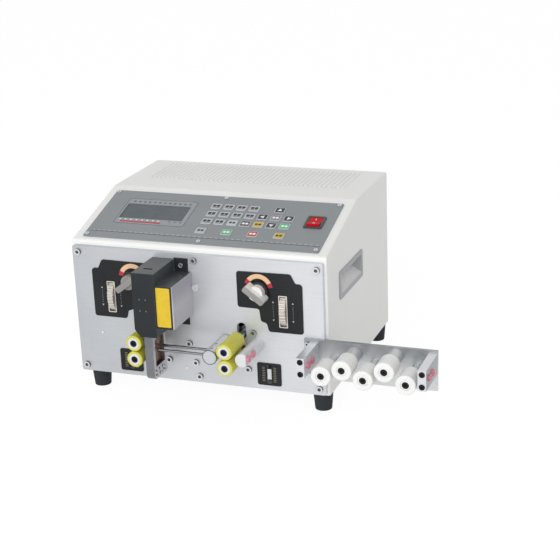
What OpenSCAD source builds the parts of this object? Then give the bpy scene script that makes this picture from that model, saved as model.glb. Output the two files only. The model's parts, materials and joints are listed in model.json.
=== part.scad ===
// Benchtop wire cutting and stripping machine with an inlet straightener.
// All sizes are mm. +Z is up, the working side faces -Y, the feet stand on Z = 0.

/* [Case] */
// Width of the case
case_w = 400; // [398:1:430]
// Depth of the case
case_d = 318; // [310:1:360]
// Height of the front edge above the case floor
front_h = 210; // [209:1:220]
// Height of the flat top above the case floor
case_h = 253; // [248:1:275]
// Distance from the front edge back to the ridge
ridge_setback = 152; // [150:1:165]
// Thickness of the case sheet
sheet = 1.6; // [1.2:0.1:2]
// Bend radius of the folded edges
fold_r = 5; // [4:0.5:8]
// Radius along the edges of the side walls
edge_r = 3; // [2.5:0.5:4]

/* [Feet] */
// Height of a foot
foot_h = 28; // [15:1:30]
// Diameter of a foot at the case
foot_d = 30; // [24:1:34]
// Diameter of a foot at the bench
foot_tip_d = 25; // [20:1:30]
// Front and rear feet are this far from the case ends
foot_inset_y = 17; // [17:1:60]
// Left feet are this far from the left wall
foot_inset_left = 24; // [20:1:60]
// Right feet are this far from the right wall
foot_inset_right = 16; // [16:1:60]

/* [Vents] */
// Number of louvres in the top
louvres = 44; // [20:1:46]
// Distance from one louvre to the next
louvre_pitch = 7.5; // [6.5:0.1:7.7]
// Length of a louvre
louvre_len = 92; // [50:1:100]
// Height of a louvre above the top
louvre_h = 2.4; // [1.5:0.1:3]

/* [Front plate] */
// Width of the front plate
plate_w = 392; // [386:1:394]
// Height of the front plate
plate_h = 200; // [198:1:202]
// Thickness of the front plate
plate_t = 8; // [6:0.5:10]
// Gap between the case floor and the lower edge of the plate
plate_gap = 3; // [2:0.5:4]
// Diameter of the socket screw heads
screw_head_d = 10; // [8:0.5:11]
// Height of the socket screw heads
screw_head_h = 3; // [2.5:0.5:5]
// Thickness of the black scale plates
scale_t = 1.2; // [0.8:0.1:2]

/* [Control panel] */
// Width of the panel plate
panel_w = 371; // [350:1:380]
// Length of the panel plate up the slope
panel_l = 132; // [126:1:135]
// Thickness of the panel plate
panel_t = 1.6; // [1.2:0.1:2.5]
// Width of one key
key_w = 15.5; // [12:0.5:17]
// Length of one key up the slope
key_l = 14; // [11:0.5:16]
// Height of the embossed keys
key_h = 0.8; // [0.4:0.1:1.5]
// Distance between key columns
key_pitch = 20.4; // [19:0.1:21]
// Width of the display glass
lcd_w = 103; // [90:1:106]
// Length of the display glass
lcd_l = 40; // [34:1:41]
// Width of the power switch bezel
switch_w = 28; // [27:0.5:30]
// Length of the power switch bezel
switch_l = 31; // [30:0.5:33]

/* [Feed rollers] */
// Diameter of a feed roller
roller_d = 24; // [22:0.5:25]
// Length of a feed roller
roller_len = 53; // [48:1:55]
// Gap between the front plate and the feed rollers
roller_gap = 19; // [14:0.5:21]
// Gap between the rollers of a pair
nip_gap = 0.6; // [0.4:0.1:2]
// Diameter of the steel hub in the roller
hub_d = 17; // [14:0.5:18]
// Distance of the roller pairs from the middle
feed_x = 70; // [70:0.5:72]
// Height of the wire line above the case floor
wire_h = 73; // [72:0.5:76]
// Diameter of the roller shafts
shaft_d = 10; // [8:0.5:11]
// Teeth of a feed gear
feed_teeth = 24; // [20:1:30]

/* [Release and gap] */
// Release knobs are this far from the middle
knob_x = 100; // [99:0.5:102]
// Height of the release knobs above the case floor
knob_h = 156.7; // [155:0.5:160]
// Diameter of a release knob
knob_d = 28; // [22:1:30]
// Radius of the round part of the cam
cam_r = 8; // [7:0.5:9]
// Extra radius at the lobe of the cam
cam_rise = 9; // [6:0.5:9.5]
// Distance from the arm pivot to the roller shaft
arm_len = 50; // [48:0.5:51]
// Gap wheels are this far from the middle
wheel_x = 135.7; // [135:0.5:138]
// Height of the gap wheels above the case floor
wheel_h = 127; // [126:0.5:129]
// Diameter of a gap wheel
wheel_d = 60; // [54:1:60]
// Width of a gap wheel
wheel_w = 9; // [7:0.5:10]
// How far a gap wheel stands out of the front plate
wheel_out = 8; // [5:0.5:9]
// Teeth of the pinion beside the wheel
pinion_teeth = 12; // [10:1:14]
// Module of the pinion and its rack
rack_module = 1; // [0.9:0.05:1.1]
// Gap pointers are this far from the middle
pointer_x = 110.5; // [109:0.5:113]
// Height of the gap pointers above the case floor
pointer_h = 27.6; // [26:0.2:30]

/* [Blades] */
// Distance of the blade frame from the middle
frame_x = 47; // [46.5:0.1:47.5]
// Width of the blade frame
frame_w = 13; // [13:0.1:13.6]
// Width of the channel for the blade slides
channel_w = 32; // [31:0.5:33]
// Diameter of the blade screw
lead_d = 10; // [8:0.5:11]
// Opening between the blade tips
blade_open = 4; // [3:0.5:6]
// Depth of the notches in the blades
notch = 5; // [3:0.5:6]
// Width of the drive belt
belt_w = 6; // [5:0.5:6.5]
// Diameter of the belt pulleys
pulley_d = 15; // [13:0.5:16]

/* [Guard] */
// How far the guard stands out of the front plate
guard_depth = 74; // [73.5:0.5:78]
// Height of the guard top above the case floor
guard_top = 194.5; // [194:0.5:196]
// Wall of the guard
guard_wall = 2; // [1.5:0.1:2.2]

/* [Wire guides] */
// Distance between the two wires
wire_pitch = 18; // [16:0.5:18.5]
// Distance of the wires from the front plate
wire_out = 47; // [46.5:0.5:47.5]
// Outer diameter of a guide tube
tube_d = 4; // [3:0.2:5]
// Diameter of the swinging tube boss
boss_d = 22; // [19:0.5:22.5]
// Position of the swinging tube boss
boss_x = 45; // [44.5:0.5:46]
// Position of the inlet guide
inlet_x = 94; // [94:0.5:97]
// Diameter of the inlet guide
inlet_d = 20; // [18:0.5:21]

/* [Straightener] */
// Left end of the straightener plate, from the right edge of the front plate
rail_x = -29; // [-31:1:-26]
// Length of the straightener plate
rail_l = 195; // [193:1:215]
// Height of the straightener plate
rail_h = 60; // [58:1:70]
// Thickness of the straightener plate
rail_t = 5; // [4:0.5:6]
// Diameter of a straightener roller
nylon_d = 29; // [24:0.5:30]
// Length of a straightener roller
nylon_l = 35; // [28:0.5:37]
// Gap between the straightener plate and its rollers
nylon_out = 30; // [28:0.5:37]
// Gap between the first guide block and the first roller
roller_lead = 8.5; // [7:0.1:10]
// Gap between the last roller and the last guide block
roller_tail = 2.7; // [2:0.1:4]
// How far the fixed rollers sit below the wires
nylon_low = 9.5; // [8:0.5:12]
// How far the first adjustable roller sits above the wires
nylon_first = 2; // [1:0.5:6]
// How far the second adjustable roller sits above the wires
nylon_second = 6; // [5:0.5:9]
// Travel of the adjustable rollers up and down
nylon_travel = 5; // [3:0.5:5.5]
// Diameter of the roller bolts
bolt_d = 6; // [5:0.5:7]

/* [Handles] */
// Length of a flush side handle
handle_l = 117; // [80:1:125]
// Height of a flush side handle
handle_w = 43; // [38:1:48]
// Thickness of the handle flange
handle_t = 1.5; // [1:0.1:2]
// Depth of the finger pocket
pocket_depth = 26; // [20:1:30]

/* [Fits] */
// Radial clearance of turning shafts
run_fit = 0.05; // [0.02:0.01:0.1]
// Clearance of sliding pieces
slide_fit = 0.2; // [0.15:0.05:0.3]
// Clearance round fixed pieces in their cut-outs
seat_fit = 0.3; // [0.2:0.05:0.5]

/* [Hidden] */
$fn = 48;

// Case planes
floor_z = foot_h;
top_z = floor_z + case_h;
y_front = -case_d / 2;
y_rear = case_d / 2;
slope = atan2(case_h - front_h, ridge_setback);
plate_y = y_front - plate_t;
plate_z = floor_z + plate_gap;
scale_y = plate_y - scale_t;

// The origin lies under the middle of the whole machine
x_low = -case_w / 2 - handle_t;
funnel_lip = 3;
rail_left = plate_w / 2 + rail_x;
x_high = rail_left + rail_l + funnel_lip;
y_low = plate_y - guard_depth;
origin_x = (x_low + x_high) / 2;
origin_y = (y_low + y_rear) / 2;

// Wire line and feed axes
wire_z = floor_z + wire_h;
wire_y = [plate_y - wire_out - wire_pitch / 2, plate_y - wire_out + wire_pitch / 2];
axis_gap = roller_d + nip_gap;
upper_z = wire_z + axis_gap / 2;
lower_z = wire_z - axis_gap / 2;
feed_module = axis_gap / feed_teeth;
roller_y = plate_y - roller_gap - roller_len;
gear_y = y_front + 35;
gear_w = 12;

// Drive frame behind the front plate
drive_y = y_front + 53;
drive_t = 6;
post_xz = [[160, 38], [160, 173], [0, 38]];
pivot_d = 8;
bush_wall = 2;

// Lift arm and cam
knob_z = floor_z + knob_h;
arm_y = y_front + 9;
arm_t = 8;
arm_bar = 10;
follower_h = cam_r + 2;
column_x = knob_x - 20;
column_w = 8;
knob_shaft = 8;

// Gap wheel, rack and pointer
wheel_z = floor_z + wheel_h;
wheel_y = plate_y + wheel_d / 2 - wheel_out;
pointer_z = floor_z + pointer_h;
pinion_r = pinion_teeth * rack_module / 2;
axle_d = 8;
pointer_w = 6.4;
pointer_l = 16;
pointer_slot = 29;

// Blade head
frame_l = -frame_x - frame_w / 2;
frame_r = frame_l + frame_w;
frame_front = plate_y - 69;
frame_back = frame_front + channel_w + 12;
frame_low = floor_z + 30;
frame_top = floor_z + 180;
rail_w = 6;
keeper_t = 3;
back_t = 5;
channel_x = frame_l + back_t;
slide_t = (frame_w - back_t - keeper_t - 3 * slide_fit) / 2;
channel_y0 = frame_front + rail_w;
channel_y1 = channel_y0 + channel_w;
lower_slide_x = channel_x + slide_fit;
upper_slide_x = lower_slide_x + slide_t + slide_fit;
lead_y = plate_y - 12.5;
bridge_h = 8;
bridge_z = [floor_z + 104, floor_z + 172];
nut_h = 12;
upper_nut_z = floor_z + 122;
lower_nut_z = floor_z + 148;
tip_upper = wire_z + blade_open / 2;
tip_lower = wire_z - blade_open / 2;
belt_z = floor_z + 186;
belt_t = 1.4;
blade_motor_w = 42;
blade_motor_y = y_front + blade_motor_w / 2;
feed_motor_w = 57;

// Guard
guard_l = -65;
guard_m = -30.5;
guard_r = -4;
guard_low = floor_z + 98;
guard_y = plate_y - guard_depth;
box_low = floor_z + 112;
box_top = floor_z + 176;
flange_low = floor_z + 94;

// Straightener
rail_z = wire_z - 12 - rail_h / 2;
rail_y = plate_y - rail_t;
block_w = 12;
block_h = 30;
block_d = 66;
block_x = [rail_left + 10, rail_left + rail_l - block_w];
nylon_x = block_x[0] + block_w + roller_lead + nylon_d / 2;
nylon_pitch = (block_x[1] - roller_tail - nylon_d / 2 - nylon_x) / 4;
nylon_y = rail_y - nylon_out;
sleeve_d = 14;
collar_d = sleeve_d + 8;
function nylon_z(i) = wire_z
  + (i % 2 == 0 ? -nylon_low : i == 1 ? nylon_first : nylon_second);

// Handles
handle_y = -46;
handle_z = floor_z + 149;

// Rear fittings
fan_x = -95;
fan_z = floor_z + 150;
fan_w = 80;
fan_t = 25;
rear_y = y_rear - sheet;
inlet_z = floor_z + 45;
plug_x = 130;

// Plain block between two corners
module block(x0, x1, y0, y1, z0, z1) {
  translate([x0, y0, z0]) cube([x1 - x0, y1 - y0, z1 - z0]);
}

// Outline in X and Z, drawn out along Y
module along_y(y0, y1) {
  translate([0, y1, 0]) rotate([90, 0, 0]) linear_extrude(height = y1 - y0) children();
}

// Outline in Y and Z, drawn out along X
module along_x(x0, x1) {
  translate([x0, 0, 0]) rotate([90, 0, 90]) linear_extrude(height = x1 - x0) children();
}

// Round bar or hole along Y
module rod_y(x, z, d, y0, y1) {
  translate([x, y1, z]) rotate([90, 0, 0]) cylinder(d = d, h = y1 - y0);
}

// Round bar or hole along X
module rod_x(y, z, d, x0, x1) {
  translate([x0, y, z]) rotate([0, 90, 0]) cylinder(d = d, h = x1 - x0);
}

// Rectangle with round corners about a centre
module pad(w, h, r) {
  square([w - 2 * r, h], center = true);
  square([w, h - 2 * r], center = true);
  for (x = [-1, 1], y = [-1, 1])
    translate([x * (w / 2 - r), y * (h / 2 - r)]) circle(r = r);
}

// Upright slot with round ends about a centre
module slot(w, h) {
  square([w, h - w], center = true);
  for (y = [-1, 1]) translate([0, y * (h - w) / 2]) circle(d = w);
}

function unit(v) = v / norm(v);
function arc_at(c, r, a, b, n) =
  let (d = ((b - a + 540) % 360) - 180)
  [for (i = [0 : n]) c + r * [cos(a + d * i / n), sin(a + d * i / n)]];
function corner(p, a, b, r) = r == 0 ? [p] :
  let (u = unit(a - p), v = unit(b - p), half = acos(u * v) / 2,
    c = p + unit(u + v) * r / sin(half),
    s = p + u * r / tan(half) - c, e = p + v * r / tan(half) - c)
  arc_at(c, r, atan2(s.y, s.x), atan2(e.y, e.x), 5);
// Outline with each corner rounded by its own radius
function rounded(pts, radii) = [for (i = [0 : len(pts) - 1])
  each corner(pts[i], pts[(i + len(pts) - 1) % len(pts)], pts[(i + 1) % len(pts)],
    radii[i])];

// Spur gear outline with straight flanks and a little backlash
module gear(teeth, m) {
  r = teeth * m / 2;
  circle(r = r - 1.1 * m);
  for (i = [0 : teeth - 1]) rotate(i * 360 / teeth)
    polygon([[r - 1.4 * m, -1.12 * m], [r + 0.8 * m, -0.36 * m],
      [r + 0.8 * m, 0.36 * m], [r - 1.4 * m, 1.12 * m]]);
}

// Puts a piece in the frame of the sloping panel, y running up the slope
module on_slope() {
  translate([0, y_front, floor_z + front_h]) rotate([slope, 0, 0]) children();
}

// Shifts the machine so that the origin is under its middle
module place() {
  translate([-origin_x, -origin_y, 0]) children();
}

case_profile = rounded([[y_front, floor_z - 30], [y_front, floor_z + front_h],
  [y_front + ridge_setback, top_z], [y_rear, top_z], [y_rear, floor_z - 30]],
  [0, fold_r, fold_r, fold_r, 0]);

// Convex body of the case, set in by a distance all round
module case_body(inset) {
  r = edge_r - inset;
  hull() for (a = [0, 30, 60, 90])
    along_x(-case_w / 2 + inset + r * (1 - cos(a)), case_w / 2 - inset - r * (1 - cos(a)))
      offset(delta = -inset - r * (1 - sin(a))) polygon(case_profile);
}

foot_xy = [for (x = [-case_w / 2 + foot_inset_left, case_w / 2 - foot_inset_right],
  y = [y_front + foot_inset_y, y_rear - foot_inset_y]) [x, y]];

// Front plate screws, X and Z above the case floor
plate_screws = [[-187, 193.5], [0, 193.5], [187, 193.5], [-187, 12.5], [0, 12.5],
  [187, 12.5], [88, 90], [77.8, 32], [-14, 63.6], [-5, 34], [-48, 35], [1, 152.6]];
// Panel screws, X and distance up the slope
panel_screws = [for (x = [-180, 0, 180], s = [14.5, panel_l + 3]) [x, s]];

// Keys: column, distance up the slope
key_rows = [111, 90, 69, 43.5];
key_at = [for (c = [0 : 3]) each [[c, 0], [c, 1], [c, 2]], [5, 0], [4, 1], [5, 1],
  [6, 1], [4, 2], [5, 2], [6, 2], [0, 3], [2, 3], [4, 3], [6, 3]];
key_x0 = -7.5;
lcd_x = -98.5;
lcd_s = 85;
switch_x = 157;
switch_s = 84.5;
panel_s = 9 + panel_l / 2;

// Way for the drive belt
module belt_slot(y0, y1)
  block(-frame_x - 12, -frame_x + 12, y0, y1, belt_z - 6, belt_z + 6);

// Floor, flanges and rear wall of the case, bent from one sheet
module chassis_pan() color("#e9e5da") difference() {
  x = case_w / 2 - sheet - 2;
  w = case_w / 2 - sheet - slide_fit;
  union() {
    block(-w, w, y_front + 8, rear_y - 8, floor_z, floor_z + sheet);
    for (s = [-1, 1]) translate([s * (w - sheet / 2), 0, 0])
      block(-sheet / 2, sheet / 2, y_front + 8, rear_y - 8, floor_z, floor_z + 12);
    block(-x, x, y_front + sheet, rear_y, floor_z, floor_z + sheet);
    block(-x, x, y_front + sheet, y_front + 2 * sheet, floor_z, floor_z + 12);
    block(-x, x, rear_y - sheet, rear_y, floor_z, top_z - sheet - fold_r - 2);
  }
  along_y(rear_y - 9, rear_y + 9) translate([fan_x, fan_z]) difference() {
    for (r = [18, 27, 36]) difference() {
      circle(r = r);
      circle(r = r - 6);
    }
    square([5, fan_w], center = true);
    square([fan_w, 5], center = true);
  }
  block(plug_x - 14, plug_x + 14, rear_y - 9, rear_y + 9, inlet_z - 10, inlet_z + 10);
  for (p = foot_xy) translate([p.x, p.y, floor_z - 1]) cylinder(d = 5.4, h = 9);
}

// Painted cover with the sloping front, louvres and openings
module case_shell() color("#efece2") difference() {
  union() {
    difference() {
      case_body(0);
      case_body(sheet);
    }
    along_y(y_rear - 22 - louvre_len, y_rear - 22) for (i = [0 : louvres - 1])
      translate([(i - louvres / 2 + 0.5) * louvre_pitch, top_z])
        polygon([[2.6, -0.4], [2.6, 0], [-1.8, louvre_h], [-2.4, louvre_h - 0.7],
          [1.4, -0.4]]);
  }
  block(-case_w, case_w, -case_d, case_d, -99, floor_z);
  block(-case_w / 2 + 14, case_w / 2 - 14, y_rear - sheet - 9, y_rear + 9, 0, top_z - 16);
  block(-plate_w / 2 + 10, plate_w / 2 - 10, y_front - 9, y_front + sheet + 2,
    plate_z + 10, plate_z + plate_h - 9);
  belt_slot(y_front - 9, y_front + sheet + 2);
  along_y(y_rear - 24 - louvre_len + 4, y_rear - 24) for (i = [0 : louvres - 1])
    translate([(i - louvres / 2 + 0.5) * louvre_pitch - 0.9, top_z - sheet / 2 - 0.2])
      square([3, sheet + 0.8], center = true);
  for (s = [-1, 1])
    block(s * case_w / 2 - 9, s * case_w / 2 + 9, handle_y - handle_l / 2 + 5,
      handle_y + handle_l / 2 - 5, handle_z - handle_w / 2 + 5, handle_z + handle_w / 2 - 5);
  on_slope() {
    translate([lcd_x, lcd_s, 0]) cube([lcd_w + 4, lcd_l + 4, 9], center = true);
    translate([switch_x, switch_s, 0]) cube([switch_w - 2, switch_l - 2, 9], center = true);
  }
}

// Aluminium plate that carries the rollers and the blade head
module front_plate() color("#c9cbcb") difference() {
  along_y(plate_y, y_front)
    translate([0, plate_z + plate_h / 2]) pad(plate_w, plate_h, 3);
  for (s = [-1, 1]) {
    rod_y(s * feed_x, lower_z, shaft_d + 2 * bush_wall, plate_y - 1, y_front + 1);
    along_y(plate_y - 1, y_front + 1) {
      translate([s * feed_x, upper_z + 6]) slot(shaft_d + 4, shaft_d + 16);
      translate([s * wheel_x, wheel_z]) pad(wheel_w + 3, wheel_d - 4, 1);
      translate([s * pointer_x, pointer_z]) pad(pointer_w + 2 * seat_fit, pointer_slot, 1);
    }
    rod_y(s * knob_x, knob_z, knob_shaft + 2 * run_fit, plate_y - 1, y_front + 1);
  }
  rod_y(boss_x, wire_z, axle_d + 2 * bush_wall, plate_y - 1, y_front + 1);
  belt_slot(plate_y - 1, y_front + 1);
  for (p = plate_screws) rod_y(p.x, floor_z + p.y, 5.4, plate_y - 1, plate_y + 6);
}

// Tapered feet, screwed up into the floor
module rubber_feet() color("#1d1d1d") for (p = foot_xy) translate([p.x, p.y, 0])
  difference() {
    cylinder(d1 = foot_tip_d, d2 = foot_d, h = foot_h);
    translate([0, 0, -1]) cylinder(d = 10, h = foot_h - 5);
    cylinder(d = 5.4, h = foot_h + 1);
  }

// One socket screw with its axis along Y, head towards the front
module socket_screw(x, z, y, d, h, shank) difference() {
  union() {
    rod_y(x, z, d, y - h, y);
    rod_y(x, z, 5, y - 1, y + shank);
  }
  translate([x, y - h + 2.2, z]) rotate([90, 0, 0]) cylinder(d = d * 0.56, h = 9, $fn = 6);
}

// Screws of the front plate, the guard, the panel and the straightener plate
module machine_screws() color("#a7a8a6") {
  for (p = plate_screws)
    socket_screw(p.x, floor_z + p.y, plate_y, screw_head_d, screw_head_h, 5);
  socket_screw(-19, floor_z + 186, plate_y - guard_wall, 7, 3, 1.5);
  for (z = [wire_z - 33, wire_z + 10]) socket_screw(rail_left + 5, z, rail_y, 7, 3, 4);
  for (p = panel_screws) on_slope() translate([p.x, p.y, panel_t]) difference() {
    cylinder(d = 6.5, h = 1.8);
    translate([0, 0, 1]) cube([1.1, 4, 3], center = true);
  }
}

// Panel plate with its embossed keys
module control_panel() color("#a9acae") on_slope() {
  difference() {
    translate([0, panel_s, 0]) linear_extrude(height = panel_t) pad(panel_w, panel_l, 3);
    translate([lcd_x, lcd_s, 0])
      cube([lcd_w + 2 * seat_fit, lcd_l + 2 * seat_fit, 9], center = true);
    translate([switch_x, switch_s, 0]) cube([switch_w - 2, switch_l - 2, 9], center = true);
  }
  for (k = key_at) translate([key_x0 + k.x * key_pitch, key_rows[k.y], 0])
    linear_extrude(height = panel_t + key_h) pad(key_w, key_l, 1.2);
}

// Display glass on its board, hung under the slope
module lcd_display() color("#5d6a63") on_slope() translate([lcd_x, lcd_s, 0]) {
  translate([0, 0, -9]) linear_extrude(height = panel_t + 8) square([lcd_w, lcd_l], true);
  translate([0, 0, -10.6]) linear_extrude(height = 1.6) square([lcd_w + 14, lcd_l + 22], true);
  for (x = [-1, 1], y = [-1, 1])
    translate([x * (lcd_w / 2 + 3.5), y * (lcd_l / 2 + 7), -9.5])
      cylinder(d = 5, h = 9.5 - sheet);
}

// Bezel and body of the power switch
module switch_frame() color("#1a1a1c") on_slope() translate([switch_x, switch_s, 0])
  difference() {
    union() {
      translate([0, 0, panel_t]) linear_extrude(height = 2) pad(switch_w, switch_l, 2);
      translate([0, 0, -22]) linear_extrude(height = panel_t + 22.5)
        square([switch_w - 2 - 2 * seat_fit, switch_l - 2 - 2 * seat_fit], true);
    }
    translate([0, 0, -6]) linear_extrude(height = 20) square([20.6, switch_l - 5.5], true);
    rod_x(0, 0.5, 3 + 2 * run_fit, -11.6, 11.6);
  }

// Red rocker, tilted to off
module rocker_button() color("#b3191b") on_slope() translate([switch_x, switch_s, 0.5])
  rotate([-9, 0, 0]) {
    along_x(-10, 10) polygon([[-8, -4], [8, -4], [11.4, 0], [11.4, 4.6], [0, 2.9],
      [-11.4, 4.6], [-11.4, 0]]);
    rod_x(0, 0, 3, -11.4, 11.4);
  }

// One flush handle on the right wall
module handle() {
  x = case_w / 2;
  z0 = -handle_w / 2 + 6;
  z1 = handle_w / 2 - 6;
  h = handle_l / 2 - 6;
  translate([x, handle_y, handle_z]) difference() {
    union() {
      along_x(0, handle_t) pad(handle_l, handle_w, 5);
      along_y(-h, h) polygon([[handle_t / 2, z0], [-pocket_depth, z1 - 12],
        [-pocket_depth, z1], [handle_t / 2, z1]]);
    }
    along_y(-h + 1.2, h - 1.2) polygon([[9, z0 - 4.5], [handle_t, z0 + 1.6],
      [1.2 - pocket_depth, z1 - 11], [1.2 - pocket_depth, z1 - 1.2], [9, z1 - 1.2]]);
  }
}

// Flush carrying handles in both side walls
module side_handles() color("#c4c5c3") {
  handle();
  mirror([1, 0, 0]) handle();
}

// Outline of the upper scale plate on the right, X and Z above the case floor
scale_outline = rounded([[66, 129], [66, 183.5], [148, 184.5], [155, 170.5], [165.5, 170.5],
  [165.5, 94.7], [113, 94.7], [110, 107], [101, 110], [99, 128.5]],
  [4, 4, 5, 4, 5, 4, 4, 4, 4, 4]);

// One pair of black scale plates, upper and lower
module scale_pair() along_y(scale_y, plate_y) {
  difference() {
    translate([0, floor_z]) polygon(scale_outline);
    translate([wheel_x, wheel_z]) pad(wheel_w + 3.3, wheel_d - 12, 1);
    translate([knob_x, knob_z]) circle(d = knob_shaft + 2);
  }
  translate([pointer_x, pointer_z]) difference() {
    pad(37, 35, 3);
    pad(pointer_w + 2 * seat_fit, pointer_slot, 1);
  }
}

// Black scale plates on both sides
module scale_plates() color("#1b1c1e") {
  scale_pair();
  mirror([1, 0, 0]) scale_pair();
}

// Posts, pivots and wheel bearings of one side
module drive_side() {
  rod_y(feed_x - arm_len, upper_z, pivot_d, y_front, drive_y);
  for (x = [wheel_x - 12, wheel_x + 14.5]) difference() {
    block(x, x + 5, y_front, wheel_y + 7, wheel_z - 7, wheel_z + 7);
    rod_x(wheel_y, wheel_z, axle_d + 2 * run_fit, x - 1, x + 6);
  }
}

// Inner plate that carries the feed motors, held off by posts
module drive_frame() color("#b4b8ba") {
  difference() {
    block(-170, 170, drive_y, drive_y + drive_t, floor_z + 26, floor_z + 183);
    for (s = [-1, 1])
      rod_y(s * feed_x, lower_z, shaft_d + 2 * bush_wall, drive_y - 1, drive_y + drive_t + 1);
  }
  for (s = [-1, 1], p = post_xz) if (p.x > 0 || s > 0)
    rod_y(s * p.x, floor_z + p.y, 12, y_front, drive_y);
  drive_side();
  mirror([1, 0, 0]) drive_side();
}

// One flanged bush with its axis along Y
module bush(x, z, d, y0, y1) difference() {
  union() {
    rod_y(x, z, d + 2 * bush_wall, y0, y1);
    rod_y(x, z, d + 2 * bush_wall + 4, y0 - 1.5, y0);
  }
  rod_y(x, z, d + 2 * run_fit, y0 - 2, y1 + 1);
}

// Bronze bushes of the lower rollers and the tube boss
module shaft_bushes() color("#b08d4c") {
  for (s = [-1, 1]) {
    bush(s * feed_x, lower_z, shaft_d, plate_y, y_front);
    bush(s * feed_x, lower_z, shaft_d, drive_y, drive_y + drive_t);
  }
  bush(boss_x, wire_z, axle_d, plate_y, y_front);
}

// Two feed motors and the upright blade motor
module stepper_motors() color("#3a3b3d") {
  y = drive_y + drive_t;
  for (s = [-1, 1]) {
    along_y(y, y + 56) translate([s * feed_x, lower_z]) pad(feed_motor_w, feed_motor_w, 5);
    rod_y(s * feed_x, lower_z, shaft_d, y + 55, y + 62);
  }
  difference() {
    translate([-frame_x, blade_motor_y, belt_z - 54]) linear_extrude(height = 48)
      pad(blade_motor_w, blade_motor_w, 4);
    translate([-frame_x, blade_motor_y, belt_z - 14]) cylinder(d = 5 + 2 * run_fit, h = 20);
  }
}

// Channel for the blade slides with its keeper plate and bridges
module blade_frame() color("#9da0a2") {
  difference() {
    union() {
      along_x(frame_l, frame_r - keeper_t) polygon([[frame_front, frame_low + 5],
        [frame_front + 5, frame_low], [frame_back, frame_low], [frame_back, frame_top],
        [frame_front, frame_top]]);
      for (z = bridge_z)
        block(-frame_x - 11, -frame_x + 11, frame_back - 1, plate_y, z, z + bridge_h);
    }
    block(channel_x, frame_r, channel_y0, channel_y1, frame_low + 4, frame_top + 1);
    block(frame_l - 1, frame_r, channel_y0 + 1, channel_y1 - 1, wire_z - 25, wire_z + 17);
    block(channel_x, frame_r - keeper_t, channel_y1 - 1, frame_back + 0.01,
      bridge_z[0] + bridge_h, bridge_z[1]);
    for (z = bridge_z) translate([-frame_x, lead_y, z - 1])
      cylinder(d = lead_d + 2 * run_fit, h = bridge_h + 2);
  }
  difference() {
    along_x(frame_r - keeper_t, frame_r) polygon([[frame_front, frame_low + 5],
      [frame_front + 5, frame_low], [frame_back, frame_low], [frame_back, frame_top],
      [frame_front, frame_top]]);
    block(frame_l, frame_r + 1, channel_y0 + 1, channel_y1 - 1, wire_z - 25, wire_z + 17);
    for (y = [9, 17, 26, 35], z = [5, 11])
      rod_x(frame_front + y, frame_low + z, 2.4, frame_r - 1.5, frame_r + 1);
  }
}

guard_outline = [[guard_m, guard_low], [guard_l + 8, guard_low], [guard_l, guard_low + 11],
  [guard_l, floor_z + guard_top], [guard_m, floor_z + guard_top]];

// Black cover over the blade head with a lower box beside it
module blade_guard() color("#27282a") {
  w = guard_wall;
  top = floor_z + guard_top;
  difference() {
    along_y(guard_y, plate_y) polygon(guard_outline);
    along_y(guard_y + w, plate_y + 1) polygon([[guard_m - w, guard_low - 1],
      [guard_l + 8 + 1.7, guard_low - 1], [guard_l + w, guard_low + 11.6],
      [guard_l + w, top - w], [guard_m - w, top - w]]);
    block(guard_l + 10, guard_l + 24, guard_y + 20, guard_y + 24, top - w - 1, top + 1);
  }
  difference() {
    block(guard_m, guard_r - 1.5, guard_y + 3, plate_y, box_low, box_top);
    block(guard_m - 1, guard_r, guard_y + 3 + w, plate_y + 1, box_low + w, box_top - w);
  }
  difference() {
    block(guard_m, guard_r - 4, plate_y - w, plate_y, box_top - w, top + 2);
    rod_y(-19, floor_z + 186, 5.4, plate_y - 9, plate_y + 1);
  }
  block(guard_m, guard_r - 6, plate_y - w, plate_y, flange_low, box_low + w);
}

// Bright side plate of the lower guard box
module guard_side_plate() color("#bfc1c0")
  block(guard_r - 1.5, guard_r, guard_y + 3, plate_y, box_low, box_top);

// Hole for one wire bush, axis along X
module funnel_holes(x0, x1) for (y = wire_y) rod_x(y, wire_z, 6.4, x0, x1);

// White guide in front of the infeed rollers
module inlet_guide() color("#e4e2d8") difference() {
  rod_y(inlet_x, wire_z, inlet_d, plate_y - 65, plate_y);
  block(inlet_x + 6, inlet_x + 20, plate_y - 70, plate_y - 30, wire_z - 20, wire_z + 20);
  funnel_holes(inlet_x - 20, inlet_x + 20);
}

// One wire bush with a funnel mouth towards +X
module funnel(x, y, l) difference() {
  union() {
    rod_x(y, wire_z, 10, x, x + funnel_lip);
    rod_x(y, wire_z, 6, x - l, x + 0.1);
  }
  rod_x(y, wire_z, 4, x - l - 1, x + 4);
  translate([x + 1, y, wire_z]) rotate([0, 90, 0]) cylinder(d1 = 4, d2 = 9.2, h = funnel_lip - 0.8);
}

// Pink wire bushes in the inlet guide and in both guide blocks
module wire_funnels() color("#d98a9c") for (y = wire_y) {
  funnel(inlet_x + 6, y, 10);
  for (x = block_x) funnel(x + block_w, y, block_w);
}

// Straightener plate with the sleeves of the fixed rollers
module straightener_bracket() color("#b9bcbc") difference() {
  union() {
    block(rail_left, rail_left + rail_l, rail_y, plate_y, rail_z, rail_z + rail_h);
    for (i = [0, 2, 4]) rod_y(nylon_x + i * nylon_pitch, wire_z - nylon_low, sleeve_d,
      nylon_y + 0.5, rail_y + 1);
  }
  for (i = [0, 2, 4]) rod_y(nylon_x + i * nylon_pitch, wire_z - nylon_low, bolt_d + 0.4,
    nylon_y - 1, plate_y + 1);
  along_y(rail_y - 1, plate_y + 1) for (i = [1, 3])
    translate([nylon_x + i * nylon_pitch, nylon_z(i)])
      slot(bolt_d + 2 * slide_fit, bolt_d + 2 * slide_fit + 2 * nylon_travel + 1);
  for (z = [wire_z - 33, wire_z + 10]) rod_y(rail_left + 5, z, 5.4, rail_y - 1, plate_y + 1);
}

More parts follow.
